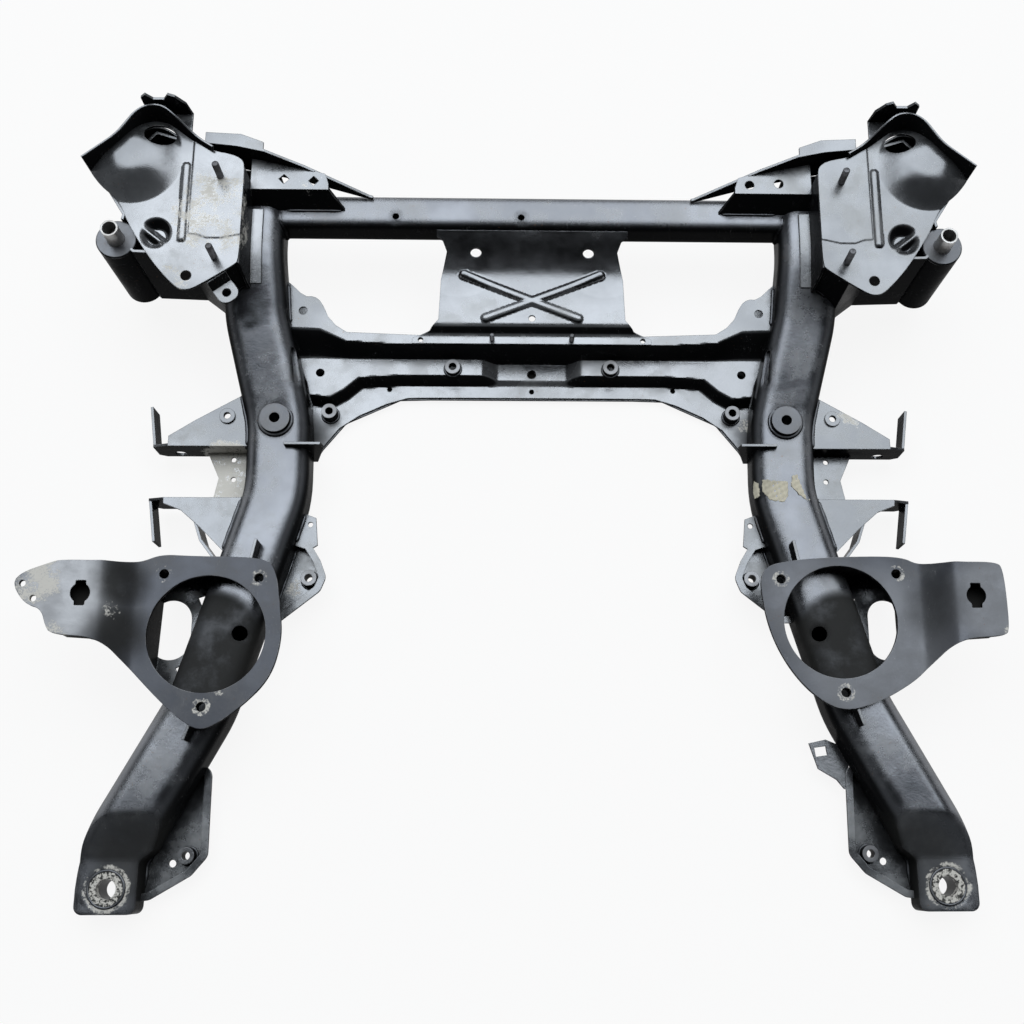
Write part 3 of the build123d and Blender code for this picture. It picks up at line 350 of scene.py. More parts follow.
# Rubber of the bushes
rubber = {
    "black": (0.012, 0.012, 0.012),
    "dust": (0.03, 0.029, 0.028),
    "noise": (600.0, 4.0, 0.6),
    "dustPatch": (0.4, 0.7),
    "roughness": 0.75,
    "grain": 0.00012,
}


# One fine noise both turns the black to dust and raises the grain
def bushRubber(name):
    finish = Finish(name)
    fine = finish.noise(*rubber["noise"])
    dusty = finish.ramp(fine, *rubber["dustPatch"])
    finish.give("Base Color", finish.mix(dusty, rubber["black"], rubber["dust"]))
    finish.give("Roughness", rubber["roughness"])
    finish.give("Normal", finish.bump(fine, rubber["grain"]))
    return finish.material


# Flaked, darkened (dirt and painted shade), cleaned and wiped places: centre, inner and outer radius in
# metres, amount
marks = {
    # Painted shade on the rail under each plate's opening, then darker patches on its sloped front ends
    "railDarkened": [((-0.352, -0.335, 0.05), 0.052, 0.066, 0.93), ((0.348, -0.335, 0.05), 0.052, 0.066, 0.93),
                 ((-0.415, -0.560, 0.025), 0.030, 0.075, 0.75), ((0.410, -0.565, 0.025), 0.030, 0.075, 0.6)],
    "sleeveSoil": [((-0.446, -0.591, 0.006), 0.030, 0.050, 0.96),
                   ((0.446, -0.591, 0.006), 0.030, 0.050, 0.96)],
    "sleeveFlaked": [((-0.4465, -0.591, 0.031), 0.017, 0.022, 0.55),
                     ((0.4465, -0.591, 0.031), 0.017, 0.022, 0.55)],
    "railFlaked": [((-0.4465, -0.591, 0.025), 0.023, 0.033, 0.54),
                   ((0.4465, -0.591, 0.025), 0.023, 0.033, 0.54),
                   ((-0.330, -0.110, 0.045), 0.004, 0.016, 0.50),
                   ((-0.318, -0.245, 0.051), 0.004, 0.024, 0.50)],
    "pressingFlaked": [((-0.350, -0.126, 0.010), 0.034, 0.054, 0.61),
                       ((-0.352, 0.130, 0.149), 0.040, 0.085, 0.50),
                       ((-0.395, 0.050, 0.149), 0.010, 0.050, 0.46),
                       ((-0.268, -0.265, 0.0), 0.004, 0.040, 0.52),
                       ((0.372, -0.058, 0.037), 0.010, 0.060, 0.50),
                       ((0.300, 0.070, 0.045), 0.006, 0.040, 0.47),
                       ((0.253, -0.062, -0.004), 0.006, 0.022, 0.50),
                       ((-0.258, 0.182, 0.110), 0.002, 0.030, 0.45)],
    "pressingSoil": [((-0.262, -0.078, 0.0), 0.004, 0.038, 0.75), ((0.262, -0.078, 0.0), 0.004, 0.034, 0.6),
                     ((-0.400, -0.236, 0.02), 0.010, 0.030, 0.6)],
    "plateFlaked": [((-0.522, -0.275, 0.102), 0.022, 0.050, 0.56),
                    ((-0.500, -0.338, 0.102), 0.012, 0.040, 0.55),
                    ((-0.440, -0.305, 0.100), 0.004, 0.032, 0.53),
                    ((0.500, -0.245, 0.102), 0.008, 0.048, 0.47),
                    ((0.520, -0.330, 0.102), 0.008, 0.046, 0.52),
                    ((-0.330, -0.392, 0.075), 0.002, 0.016, 0.50),
                    ((-0.397, -0.263, 0.075), 0.009, 0.0125, 0.47),
                    ((-0.295, -0.267, 0.075), 0.009, 0.0125, 0.47),
                    ((-0.348, -0.406, 0.075), 0.009, 0.0145, 0.53),
                    ((0.400, -0.261, 0.075), 0.009, 0.0130, 0.47),
                    ((0.273, -0.267, 0.075), 0.009, 0.0125, 0.47),
                    ((0.337, -0.391, 0.075), 0.009, 0.0150, 0.53)],
    # Painted shade, mottled by noise, on the steep bend up to each wing
    "plateBendShade": [((0.440, -0.300, 0.088), 0.010, 0.045, 0.60), ((-0.440, -0.330, 0.088), 0.014, 0.046, 0.85),
                  ((-0.440, -0.275, 0.088), 0.014, 0.040, 0.85)],
    "plateClean": [((-0.490, -0.292, 0.102), 0.036, 0.064, 1.0), ((0.495, -0.295, 0.102), 0.030, 0.060, 0.35),
                   ((0.372, -0.345, 0.075), 0.060, 0.110, 0.28),
                   ((0.300, -0.285, 0.075), 0.020, 0.070, 0.20)],
    "pressingWiped": [((-0.085, 0.125, 0.070), 0.050, 0.070, 1.0), ((0.085, 0.125, 0.070), 0.050, 0.070, 1.0),
                      ((0.0, 0.125, 0.070), 0.055, 0.075, 1.0), ((-0.447, 0.180, 0.165), 0.030, 0.075, 0.7),
                      ((0.447, 0.180, 0.165), 0.030, 0.075, 0.9)],
    "pressingClean": [((-0.360, 0.130, 0.149), 0.060, 0.110, 0.42),
                      ((0.0, -0.005, 0.015), 0.100, 0.200, 0.22),
                      ((-0.200, -0.010, 0.015), 0.040, 0.110, 0.26),
                      ((0.200, -0.010, 0.015), 0.040, 0.110, 0.26)],
}
finishes = {
    "rail_coat": coatedSteel("railCoating", (0.195, 0.205, 0.227), (0.32, 0.33, 0.34), dusty=0.42, wear=0.35,
                             gloss=0.21, sheen=0.92, soft=0.010,
                             flaked=marks["railFlaked"], dirtAndShade=marks["railDarkened"]),
    "pressing_coat": coatedSteel("pressingCoating", (0.215, 0.225, 0.241), (0.35, 0.36, 0.365), dusty=0.5,
                                 wear=0.6, gloss=0.23, sheen=0.9,
                                 flaked=marks["pressingFlaked"], dirtAndShade=marks["pressingSoil"],
                                 cleaned=marks["pressingClean"], wiped=marks["pressingWiped"]),
    "plate_coat": coatedSteel("plateCoating", (0.115, 0.123, 0.142), (0.20, 0.207, 0.22), dusty=0.6, wear=0.9,
                              gloss=0.44, sheen=0.55, flaked=marks["plateFlaked"],
                              dirtAndShade=marks["plateBendShade"], cleaned=marks["plateClean"], scraps=True),
    "boss_coat": coatedSteel("bossCoating", (0.125, 0.132, 0.146), (0.23, 0.235, 0.245), dusty=0.6, wear=1.0),
    "nut_steel": coatedSteel("nutCoating", (0.22, 0.226, 0.24), (0.33, 0.335, 0.345), dusty=0.6, wear=0.8),
    "stud_steel": plainSteel("studZinc", (0.16, 0.165, 0.18), (0.08, 0.08, 0.085), roughness=0.38,
                             metallic=0.7),
    "sleeve_steel": plainSteel("sleeveSteel", (0.50, 0.50, 0.50), (0.33, 0.32, 0.31), roughness=0.38,
                               metallic=0.8, dirtAndShade=marks["sleeveSoil"], flaked=marks["sleeveFlaked"]),
    "bush_rubber": bushRubber("bushRubber"),
}
slotOfNode = {entry["node"]: entry["material_slot"] for entry in frame["record"]["subparts"]}
for name, node in frame["nodes"].items():
    node.data.materials.clear()
    node.data.materials.append(finishes[slotOfNode[name]])
print("coatings on the frame's nodes")


# Meshes are worked out in millimetres and written in metres
def makePiece(name, points, faces, slotName, stands=(), smoothAngle=0.7):
    mesh = bpy.data.meshes.new(name)
    mesh.from_pydata((np.asarray(points, float) * 0.001).tolist(), [], [f.tolist() for f in faces])
    mesh.validate()
    mesh.polygons.foreach_set("use_smooth", np.ones(len(mesh.polygons), bool))
    mesh.set_sharp_from_angle(angle=smoothAngle)
    mesh.update()
    mesh.materials.append(finishes[slotName])
    piece = bpy.data.objects.new(name, mesh)
    scene.collection.objects.link(piece)
    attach(piece, "root")
    if stands:
        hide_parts(*stands)
    return piece


# Marks every point of a piece with a value of 1 that a finish reads
def marked(piece, name):
    values = piece.data.attributes.new(name, "FLOAT", "POINT")
    values.data.foreach_set("value", np.ones(len(piece.data.vertices)))


# Smooth step: three times t squared less twice t cubed, with t held between 0 and 1
def smoothStep(value):
    t = np.clip(value, 0.0, 1.0)
    return t * t * (3.0 - 2.0 * t)


# The same point set on the other side of the plane x = 0, for the right-hand pieces
def flipped(points, side):
    return np.asarray(points, float) * np.array([side] + [1.0] * (np.asarray(points).shape[-1] - 1))


# Corner cutting: each pass puts two points a quarter and three quarters along every side
def cutCorners(points, passes):
    loop = np.asarray(points, float)
    for _ in range(passes):
        after = np.roll(loop, -1, 0)
        loop = np.stack([0.75 * loop + 0.25 * after, 0.25 * loop + 0.75 * after], 1)
        loop = loop.reshape(-1, loop.shape[-1])
    return loop


# The same for an open line, its two ends kept
def cutOpen(points, passes):
    line = np.asarray(points, float)
    for _ in range(passes):
        inner = np.stack([0.75 * line[:-1] + 0.25 * line[1:], 0.25 * line[:-1] + 0.75 * line[1:]], 1)
        line = np.vstack([line[:1], inner.reshape(-1, line.shape[1]), line[-1:]])
    return line


# Nearest point of a closed or open line of straight runs, and how far it is, for many points at once
def nearestOnLine(points, line, closed):
    start = line if closed else line[:-1]
    run = (np.roll(line, -1, 0) if closed else line[1:]) - start
    along = ((points[:, None] - start) * run).sum(-1) / (run ** 2).sum(-1)
    foot = start + np.clip(along, 0.0, 1.0)[..., None] * run
    gap = np.linalg.norm(points[:, None] - foot, axis=-1)
    best = gap.argmin(1)
    rows = np.arange(len(points))
    return foot[rows, best], gap[rows, best]


# Even-odd count of the outline's sides that a line towards +x crosses
def insideOutline(points, outline):
    a, b = outline, np.roll(outline, -1, 0)
    x, y = points[:, :1], points[:, 1:]
    spans = (a[:, 1] > y) != (b[:, 1] > y)
    crossing = a[:, 0] + (y - a[:, 1]) * (b[:, 0] - a[:, 0]) / (b[:, 1] - a[:, 1] + 1e-12)
    return (spans & (x < crossing)).sum(1) % 2 == 1


# A pressed sheet: a height over a level grid, kept inside an outline and outside holes, its rim
# points slid onto them, with an underside one thickness below and a wall all round
def pressedSheet(name, outline, holes, heightAt, thickness, cell, slotName, stands=()):
    low, high = outline.min(0) - cell, outline.max(0) + cell
    counts = np.ceil((high - low) / cell).astype(int) + 1
    grid = np.meshgrid(*(low[k] + cell * np.arange(counts[k]) for k in (0, 1)), indexing="ij")
    points = np.stack([axis.ravel() for axis in grid], 1)
    index = np.arange(len(points)).reshape(counts)
    quads = np.stack([index[:-1, :-1], index[1:, :-1], index[1:, 1:], index[:-1, 1:]], -1).reshape(-1, 4)
    middles = points[quads].mean(1)
    kept = insideOutline(middles, outline)
    for hole in holes:
        kept &= ~insideOutline(middles, hole)
    quads = quads[kept]
    sides = np.stack([quads, np.roll(quads, -1, 1)], -1).reshape(-1, 2)
    _, which, uses = np.unique(np.sort(sides, 1), axis=0, return_inverse=True, return_counts=True)
    rim = sides[uses[which.ravel()] == 1]
    rimPoints = np.unique(rim)
    best, bestGap = nearestOnLine(points[rimPoints], outline, True)
    for hole in holes:
        foot, gap = nearestOnLine(points[rimPoints], hole, True)
        best = np.where((gap < bestGap)[:, None], foot, best)
        bestGap = np.minimum(gap, bestGap)
    points[rimPoints] = best
    used, quads = np.unique(quads, return_inverse=True)
    quads = quads.reshape(-1, 4)
    rim = np.searchsorted(used, rim)
    points = points[used]
    count = len(points)
    top = np.column_stack([points, heightAt(points[:, 0], points[:, 1])])
    under = top - (0.0, 0.0, thickness)
    a, b = rim[:, 0], rim[:, 1]
    walls = np.stack([a, a + count, b + count, b], 1)
    faces = list(quads) + list(quads[:, ::-1] + count) + list(walls)
    return makePiece(name, np.vstack([top, under]), faces, slotName, stands)


# A bar: a ring of section points carried along a path, capped at both ends or closed on itself, and
# turned right way out by the sign of its volume
def sweptBar(rings, closed=False):
    steps, around = rings.shape[:2]
    index = np.arange(steps * around).reshape(steps, around)
    after, turned = np.roll(index, -1, 0), np.roll(index, -1, 1)
    quads = np.stack([index, turned, np.roll(after, -1, 1), after], -1)
    quads = (quads if closed else quads[:-1]).reshape(-1, 4)
    caps = [] if closed else [index[0][::-1], index[-1]]
    points = rings.reshape(-1, 3)
    a, b, c, d = (points[quads[:, k]] - points.mean(0) for k in range(4))
    volume = (a * (np.cross(b, c) + np.cross(c, d))).sum()
    faces = list(quads) + caps
    return points, faces if volume > 0.0 else [face[::-1] for face in faces]


# Evenly spaced points along a line of straight runs
def spaced(line, step):
    line = np.asarray(line, float)
    reach = np.concatenate([[0.0], np.cumsum(np.linalg.norm(np.diff(line, axis=0), axis=1))])
    count = max(int(np.ceil(reach[-1] / step)), 4)
    at = np.linspace(0.0, reach[-1], count + 1)
    return np.stack([np.interp(at, reach, line[:, k]) for k in range(3)], 1), at


# A plan line with its corners cut by some passes, as evenly spaced points at height 0
def planLine(points, passes, step):
    return spaced(cutOpen(np.column_stack([points, np.zeros(len(points))]), passes), step)


# Several meshes as one: each one's faces count on from the points before it
def joined(parts):
    points, faces, count = [], [], 0
    for some, their in parts:
        points.append(some)
        faces += [f + count for f in their]
        count += len(some)
    return np.vstack(points), faces


# Points round an ellipse, or a circle where one radius is given: the centre plus cosine and sine times radii
def ellipse(centre, radii, count=72):
    angle = np.linspace(0.0, 2.0 * np.pi, count, endpoint=False)
    return np.array(centre) + np.stack([np.cos(angle), np.sin(angle)], 1) * radii


# A round-topped bead along a line: the root of one less the squared share of its half width
def roundTop(at, line, halfWidth):
    _, gap = nearestOnLine(at, np.array(line, float), False)
    return np.sqrt(np.clip(1.0 - (gap / halfWidth) ** 2, 0.0, 1.0))


# Towers: stud plate, dome, pocket and bead pressed from one sheet (millimetres, left side)
tower = {
    "level": 149.0,
    "thickness": 3.0,
    "cell": 1.25,
    "outline": [(-361, 208), (-335, 203), (-325, 196), (-323, 187), (-323, 130), (-323, 74), (-327, 69),
                (-346, 56), (-358, 48), (-371, 40), (-379, 38), (-388, 40), (-403, 55), (-418, 73),
                (-433, 95), (-447, 118), (-457, 140), (-465, 150), (-479, 161), (-491, 176), (-493, 181),
                (-476, 195), (-458, 210), (-448, 225), (-440, 238), (-431, 245), (-422, 247), (-412, 245),
                (-403, 240), (-387, 227), (-375, 217)],
    "domeCentre": (-447.0, 197.0),
    "domeReach": 55.5,
    "domeShoulder": 40.0,
    "domeRise": 8.0,
    "domeBulge": 10.0,
    "domeHole": (-417.5, 223.0),
    "domeHoleSize": (16.5, 14.5),
    "bead": ((-387.5, 188.0), (-387.0, 100.0)),
    "beadWidth": 5.0,
    "beadRise": 3.0,
    "pocketCentre": (-416.0, 106.0),
    "pocketSize": (18.5, 19.5),
    "pocketDepth": 12.0,
    "pocketWall": 0.55,
    "ledge": ((-399.0, 88.0), (-431.0, 113.0)),
    "ledgeWidth": 8.5,
    "ledgeRise": 10.0,
    "plateEdge": [(-320.0, 105.0), (-330.0, 103.0), (-343.0, 100.0), (-361.0, 100.0), (-371.0, 104.0),
                  (-381.0, 104.5)],
    "plateSide": -381.5,
    "plateRise": 0.9,
    "plateStep": 1.2,
    "deckHole": (-379.0, 55.0),
    "deckHoleRadius": 6.0,
    "deckHoleSides": 40,
}


# Height of the tower's sheet: a round-shouldered dome, a bead, a sunk pocket with a ledge, a thin step
def towerHeight(x, y):
    at = np.stack([x, y], 1)
    domeGap = np.linalg.norm(at - tower["domeCentre"], axis=1)
    shoulder = smoothStep((tower["domeReach"] - domeGap) / tower["domeShoulder"])
    bulge = np.clip(1.0 - (domeGap / tower["domeReach"]) ** 2, 0.0, 1.0)
    height = tower["domeRise"] * shoulder + tower["domeBulge"] * bulge
    height += tower["beadRise"] * roundTop(at, tower["bead"], tower["beadWidth"])
    bowl = np.linalg.norm((at - tower["pocketCentre"]) / tower["pocketSize"], axis=1)
    sunk = smoothStep((1.0 - bowl) / tower["pocketWall"])
    _, ledgeGap = nearestOnLine(at, np.array(tower["ledge"]), False)
    ledge = tower["ledgeRise"] * smoothStep(1.0 - ledgeGap / tower["ledgeWidth"])
    height += sunk * (ledge - tower["pocketDepth"])
    edgeX, edgeY = np.array(tower["plateEdge"])[::-1].T
    behind = smoothStep((y - np.interp(x, edgeX, edgeY)) / tower["plateStep"])
    beside = smoothStep((x - tower["plateSide"]) / tower["plateStep"])
    height += tower["plateRise"] * (behind * beside)
    return tower["level"] + height


for side, hand in ((1, "left"), (-1, "right")):
    holes = [ellipse(flipped(tower["domeHole"], side), tower["domeHoleSize"]),
             ellipse(flipped(tower["deckHole"], side), tower["deckHoleRadius"], tower["deckHoleSides"])]
    pressedSheet(hand + "TowerSheet", flipped(cutCorners(tower["outline"], 2), side), holes,
                 lambda x, y: towerHeight(side * x, y), tower["thickness"], tower["cell"], "pressing_coat",
                 (hand + "_tower_shell",))
print("tower sheets pressed")

# Around each tower sheet: the turned-up lip, the inner wall down to the rail with its foot, and a floor
# under the deck, painted dark as the shade there
towerWalls = {
    "lipLine": [(-493, 180), (-476, 194), (-458, 209), (-448, 224), (-440, 236.5), (-431, 243.5),
                (-422, 245.5), (-413, 244), (-404, 238.5), (-388, 225.5), (-375, 216), (-360, 206.5)],
    "lipHigh": 178.0,
    "lipEnd": 157.0,
    "lipFlare": 3.0,
    "lipFall": (0.62, 0.30),
    "lipStep": 2.0,
    "rearLine": [(-479, 176), (-466, 188), (-452, 202), (-441, 221), (-434, 232), (-423, 238), (-410, 234),
                 (-390, 219), (-375, 208), (-355, 199)],
    "rearFoot": 58.0,
    "closingLine": [(-348, 221), (-322, 217.5), (-295, 212)],
    "closingSpan": (56.0, 86.6),
    "innerLine": [(-324.6, 189.0), (-324.6, 72.0)],
    "footLine": [(-317.0, 165.0), (-317.0, 77.0)],
    "footSection": [(-6.5, 0.0), (6.5, -0.6), (6.5, 1.6), (5.5, 2.4), (-6.5, 3.0)],
    "railTop": 93.4,
    "railSlope": 0.242,
    "railBend": 124.0,
    "railBendSoftness": 8.0,
    "railOverlap": 0.3,
    "floorOutline": [(-366, 76), (-385, 87), (-436, 88), (-438, 101), (-441, 112), (-452, 131), (-478, 172),
                     (-450, 203), (-425, 230), (-401, 222), (-366, 207)],
    "floorLevel": 36.0,
    "floorThickness": 2.0,
    "floorCell": 6.0,
    "thickness": 3.0,
    "overlap": 0.1,
    "step": 4.0,
    "edgeDrop": 0.3,
    "edgeWidth": 0.45,
}


# Top of the rail beside the tower: level at the rear, falling forward past its bend by a soft maximum
def railTopAt(y):
    soft = towerWalls["railBendSoftness"]
    past = np.log1p(np.exp((towerWalls["railBend"] - y) / soft))
    return towerWalls["railTop"] - towerWalls["railSlope"] * soft * past


# A standing strip: six section points, its upper edge rounded, leaning outward by flare towards the top
def standingStrip(line, bottom, top, thickness, flare=0.0):
    run = np.gradient(line, axis=0)
    outward = np.stack([-run[:, 1], run[:, 0]], 1) / np.linalg.norm(run, axis=1)[:, None]
    half, drop = thickness / 2.0, towerWalls["edgeDrop"] * thickness
    crown = towerWalls["edgeWidth"] * half
    across = np.array([-half, half, half, crown, -crown, -half])
    lean = np.array([0.0, 0.0, 1.0, 1.0, 1.0, 1.0]) * flare
    bottom, top = (np.broadcast_to(height, len(line)) for height in (bottom, top))
    rise = np.stack([bottom, bottom, top - drop, top, top, top - drop], 1)
    level = line[:, None] + outward[:, None] * (across + lean)[None, :, None]
    return sweptBar(np.concatenate([level, rise[..., None]], -1))


thick, step = towerWalls["thickness"], towerWalls["step"]
underDeck = tower["level"] - thick + towerWalls["overlap"]
for side, hand in ((1, "left"), (-1, "right")):
    lip, reach = planLine(towerWalls["lipLine"], 2, towerWalls["lipStep"])
    start, run = towerWalls["lipFall"]
    fall = (towerWalls["lipHigh"] - towerWalls["lipEnd"]) * smoothStep((reach / reach[-1] - start) / run)
    rear, _ = planLine(towerWalls["rearLine"], 2, step)
    rearTop = towerHeight(rear[:, 0], rear[:, 1]) - thick + towerWalls["overlap"]
    closing, _ = planLine(towerWalls["closingLine"], 0, step)
    inner, _ = planLine(towerWalls["innerLine"], 0, step)
    foot, _ = planLine(towerWalls["footLine"], 0, step)
    foot[:, 2] = railTopAt(foot[:, 1])
    rings = np.repeat(foot[:, None], len(towerWalls["footSection"]), 1)
    rings[..., [0, 2]] += towerWalls["footSection"]
    points, faces = joined([
        standingStrip(lip[:, :2], underDeck, towerWalls["lipHigh"] - fall, thick, towerWalls["lipFlare"]),
        standingStrip(rear[:, :2], towerWalls["rearFoot"], rearTop, thick),
        standingStrip(closing[:, :2], *towerWalls["closingSpan"], thick),
        standingStrip(inner[:, :2], railTopAt(inner[:, 1]) - towerWalls["railOverlap"], underDeck, thick),
        sweptBar(rings),
    ])
    if side < 0:
        points, faces = flipped(points, side), [f[::-1] for f in faces]
    makePiece(hand + "TowerWalls", points, faces, "pressing_coat")
    towerFloor = pressedSheet(hand + "TowerFloor", flipped(towerWalls["floorOutline"], side), [],
                              lambda x, y: np.full(x.shape, towerWalls["floorLevel"]),
                              towerWalls["floorThickness"], towerWalls["floorCell"], "pressing_coat")
    # Painted shade: the floor deep under the deck is painted dark
    marked(towerFloor, "paintedShade")
print("tower walls and floors made")


# Engine-mount plates: a ring with eased corners that bends up to a wing, a keyhole and a skirt in front
plates = {
    "left": {
        "outline": [(-423, -250), (-401, -241), (-371, -243), (-293, -244), (-277, -256), (-270, -302),
                    (-267, -335), (-277, -376), (-307, -407), (-338, -429), (-356, -429), (-385, -407),
                    (-427, -365), (-452, -337), (-502, -334), (-508, -325), (-514, -307), (-532, -302),
                    (-547, -280), (-538, -268), (-511, -258), (-499, -254), (-452, -255)],
        "opening": ((-348, -328), 63.5),
        "bolts": [(-397, -263), (-295, -267), (-348, -406)],
        "keyhole": (-475, -290),
        "wingHoles": [(-536, -280), (-523.5, -296)],
        "skirt": [(-491, -332.5), (-453, -335), (-428, -362.5), (-400, -390.5)],
    },
    "right": {
        "outline": [(252, -259), (267, -248), (328, -242), (406, -241), (425, -251), (458, -254), (500, -254),
                    (508, -261), (509, -328), (503, -335), (455, -337), (426, -366), (412, -379), (378, -399),
                    (337, -412), (306, -398), (278, -367), (258, -326), (250, -279)],
        "opening": ((336, -314), 62.0),
        "bolts": [(400, -261), (273, -267), (337, -391)],
        "keyhole": (476, -291),
        "wingHoles": [],
        "skirt": [(492, -332.5), (455, -335), (427, -363.5), (405, -380.5)],
    },
    "level": 77.0,
    "wingLevel": 107.0,
    "bend": 425.0,
    "bendSoftness": 2.2,
    "openingSides": 120,
    "boltRadius": 5.25,
    "boltSides": 32,
    "wingHoleRadius": 3.6,
    "wingHoleSides": 28,
    "keyholeRadius": 10.5,
    "keyholeNotch": (5.5, 13.5),
    "keyholeSides": 96,
    "cornerReach": 16.0,
    "thickness": 5.0,
    "cell": 1.6,
    "skirtDepth": 20.0,
    "skirtThickness": 3.0,
    "skirtStep": 3.0,
    "overlap": 0.1,
}


# Every corner of an outline is cut at one reach, a quarter of its side at most, and the cuts are cut again
def eased(outline, reach):
    loop = np.asarray(outline, float)
    after = np.roll(loop, -1, 0)
    run = after - loop
    share = np.minimum(reach / np.linalg.norm(run, axis=1)[:, None], 0.25)
    return cutCorners(np.stack([loop + share * run, after - share * run], 1).reshape(-1, 2), 2)


# Circle and slot in one: the larger of the circle's radius and the slot's own radius at each angle
def keyholeOutline(centre):
    angle = np.linspace(0.0, 2.0 * np.pi, plates["keyholeSides"], endpoint=False)
    wide, tall = plates["keyholeNotch"]
    slot = np.minimum(wide / (np.abs(np.cos(angle)) + 1e-9), tall / (np.abs(np.sin(angle)) + 1e-9))
    radius = np.maximum(plates["keyholeRadius"], slot)
    return np.array(centre) + np.stack([radius * np.cos(angle), radius * np.sin(angle)], 1)


# Level on the ring, then up at 45 degrees to the wing, each bend rounded by a soft maximum
def plateHeight(x, y):
    rise = plates["wingLevel"] - plates["level"]
    soft = plates["bendSoftness"]
    past = (np.abs(x) - plates["bend"]) / soft
    return plates["level"] + soft * (np.logaddexp(0.0, past) - np.logaddexp(0.0, past - rise / soft))


for hand in ("left", "right"):
    make = plates[hand]
    centre, radius = make["opening"]
    holes = [ellipse(centre, radius, plates["openingSides"]), keyholeOutline(make["keyhole"])]
    for kind, places in (("bolt", make["bolts"]), ("wingHole", make["wingHoles"])):
        holes += [ellipse(place, plates[kind + "Radius"], plates[kind + "Sides"]) for place in places]
    pressedSheet(hand + "MountSheet", eased(make["outline"], plates["cornerReach"]), holes, plateHeight,
                 plates["thickness"], plates["cell"], "plate_coat", (hand + "_mount_plate",))
    skirt, _ = planLine(make["skirt"], 2, plates["skirtStep"])
    over = plateHeight(skirt[:, 0], skirt[:, 1])
    points, faces = standingStrip(skirt[:, :2], over - plates["skirtDepth"],
                                  over - plates["thickness"] + plates["overlap"], plates["skirtThickness"])
    makePiece(hand + "MountSkirt", points, faces, "plate_coat")
print("mount plates pressed")


# Crossmember: one sheet pressed in soft steps, its rear crest, its plateau and the flange round it. Its
# lines are those of the left half
crossmember = {
    "railLine": [(-290, 98), (-283.5, 60), (-281, 40), (-279, 17), (-272, 0), (-262, -24), (-258.5, -60),
                 (-257.5, -106)],
    "frontLine": [(-255, -106), (-247, -93), (-221, -60), (-157, -30), (-121, -29)],
    "rearLine": [(-210, 30), (-236, 47), (-247, 72), (-256, 79.5), (-268, 79), (-286, 97)],
    "plateauFront": [(-310, -30), (-261, -36), (-237, -39), (-220, -29), (-203, -14), (-156, -11), (0, -11)],
    "crestFront": [(-300, 39), (-248, 37), (-218, 22), (-154, 18), (0, 18)],
    "crestFoot": 13.5,
    "crestBehind": 1.5,
    "flangeLevel": -3.0,
    "plateauLevel": 15.0,
    "crestLevel": 45.0,
    "floorHalf": 38.0,
    "rampHalf": 62.0,
    "step": 8.5,
    "thickness": 3.0,
    "cell": 1.6,
    "holes": [((-93.5, 0.5), 4.5), ((-238, -52), 4.5), ((-250, -5), 5.0), ((-268.5, 61), 5.0),
              ((-169.5, -19), 3.0), ((-130, 24), 3.0)],
    "middleHoles": [((0, 0), 5.5), ((0, -21), 3.0)],
    "holeSides": 28,
    "liningInset": 5.0,
    "liningLevel": -9.6,
    "liningThickness": 1.5,
    "liningCell": 4.0,
}


# Height of the pressing: the flange, a rounded step to the plateau or its sunk middle, and a leaning wall
# up to the crest, half straight and half smooth step
def crossmemberHeight(x, y):
    at = np.stack([-np.abs(x), y], 1)
    front = np.array(crossmember["plateauFront"], float)
    _, gap = nearestOnLine(at, front, False)
    behind = np.sign(y - np.interp(at[:, 0], front[:, 0], front[:, 1]))
    sunk, ramp = crossmember["floorHalf"], crossmember["rampHalf"]
    plateau = crossmember["plateauLevel"] * smoothStep((np.abs(x) - sunk) / (ramp - sunk))
    step = smoothStep(0.5 + behind * gap / crossmember["step"])
    height = crossmember["flangeLevel"] + (plateau - crossmember["flangeLevel"]) * step
    crest = np.interp(at[:, 0], *np.array(crossmember["crestFront"], float).T) + crossmember["crestBehind"]
    climb = (y - crossmember["crestFoot"]) / (crest - crossmember["crestFoot"])
    climb = 0.5 * smoothStep(climb) + 0.5 * np.clip(climb, 0.0, 1.0)
    return height + (crossmember["crestLevel"] - height) * climb


# The same line on the other side, run backwards: x changes its sign
def mirrored(line):
    return [(-x, y) for x, y in line[::-1]]


# An outline drawn in evenly, along the mean direction of the two sides at each corner; the sign of its
# area says which side is in
def drawnIn(outline, distance):
    after = np.roll(outline, -1, 0)
    run = after - np.roll(outline, 1, 0)
    turn = np.sign((after[:, 1] * outline[:, 0] - after[:, 0] * outline[:, 1]).sum())
    inward = np.stack([-run[:, 1], run[:, 0]], 1) * turn
    return outline + distance * inward / np.linalg.norm(inward, axis=1)[:, None]


frontHalf, rearHalf = crossmember["railLine"] + crossmember["frontLine"], crossmember["rearLine"]
crossOutline = cutCorners(frontHalf + mirrored(frontHalf) + mirrored(rearHalf) + rearHalf, 1)
bores = [((side * x, y), radius) for (x, y), radius in crossmember["holes"] for side in (1, -1)]
holes = [ellipse(place, radius, crossmember["holeSides"])
         for place, radius in crossmember["middleHoles"] + bores]
pressedSheet("crossmemberPressing", crossOutline, holes, crossmemberHeight, crossmember["thickness"],
             crossmember["cell"], "pressing_coat", ("crossmember_upper",))

# A sheet far below, painted dark as shade, shuts off the view through its holes
lining = pressedSheet("crossmemberLining", drawnIn(crossOutline, crossmember["liningInset"]), [],
                      lambda x, y: np.full(x.shape, crossmember["liningLevel"]),
                      crossmember["liningThickness"], crossmember["liningCell"], "pressing_coat")
# Painted shade: the sheet under the holes is painted dark
marked(lining, "paintedShade")
print("crossmember pressed")

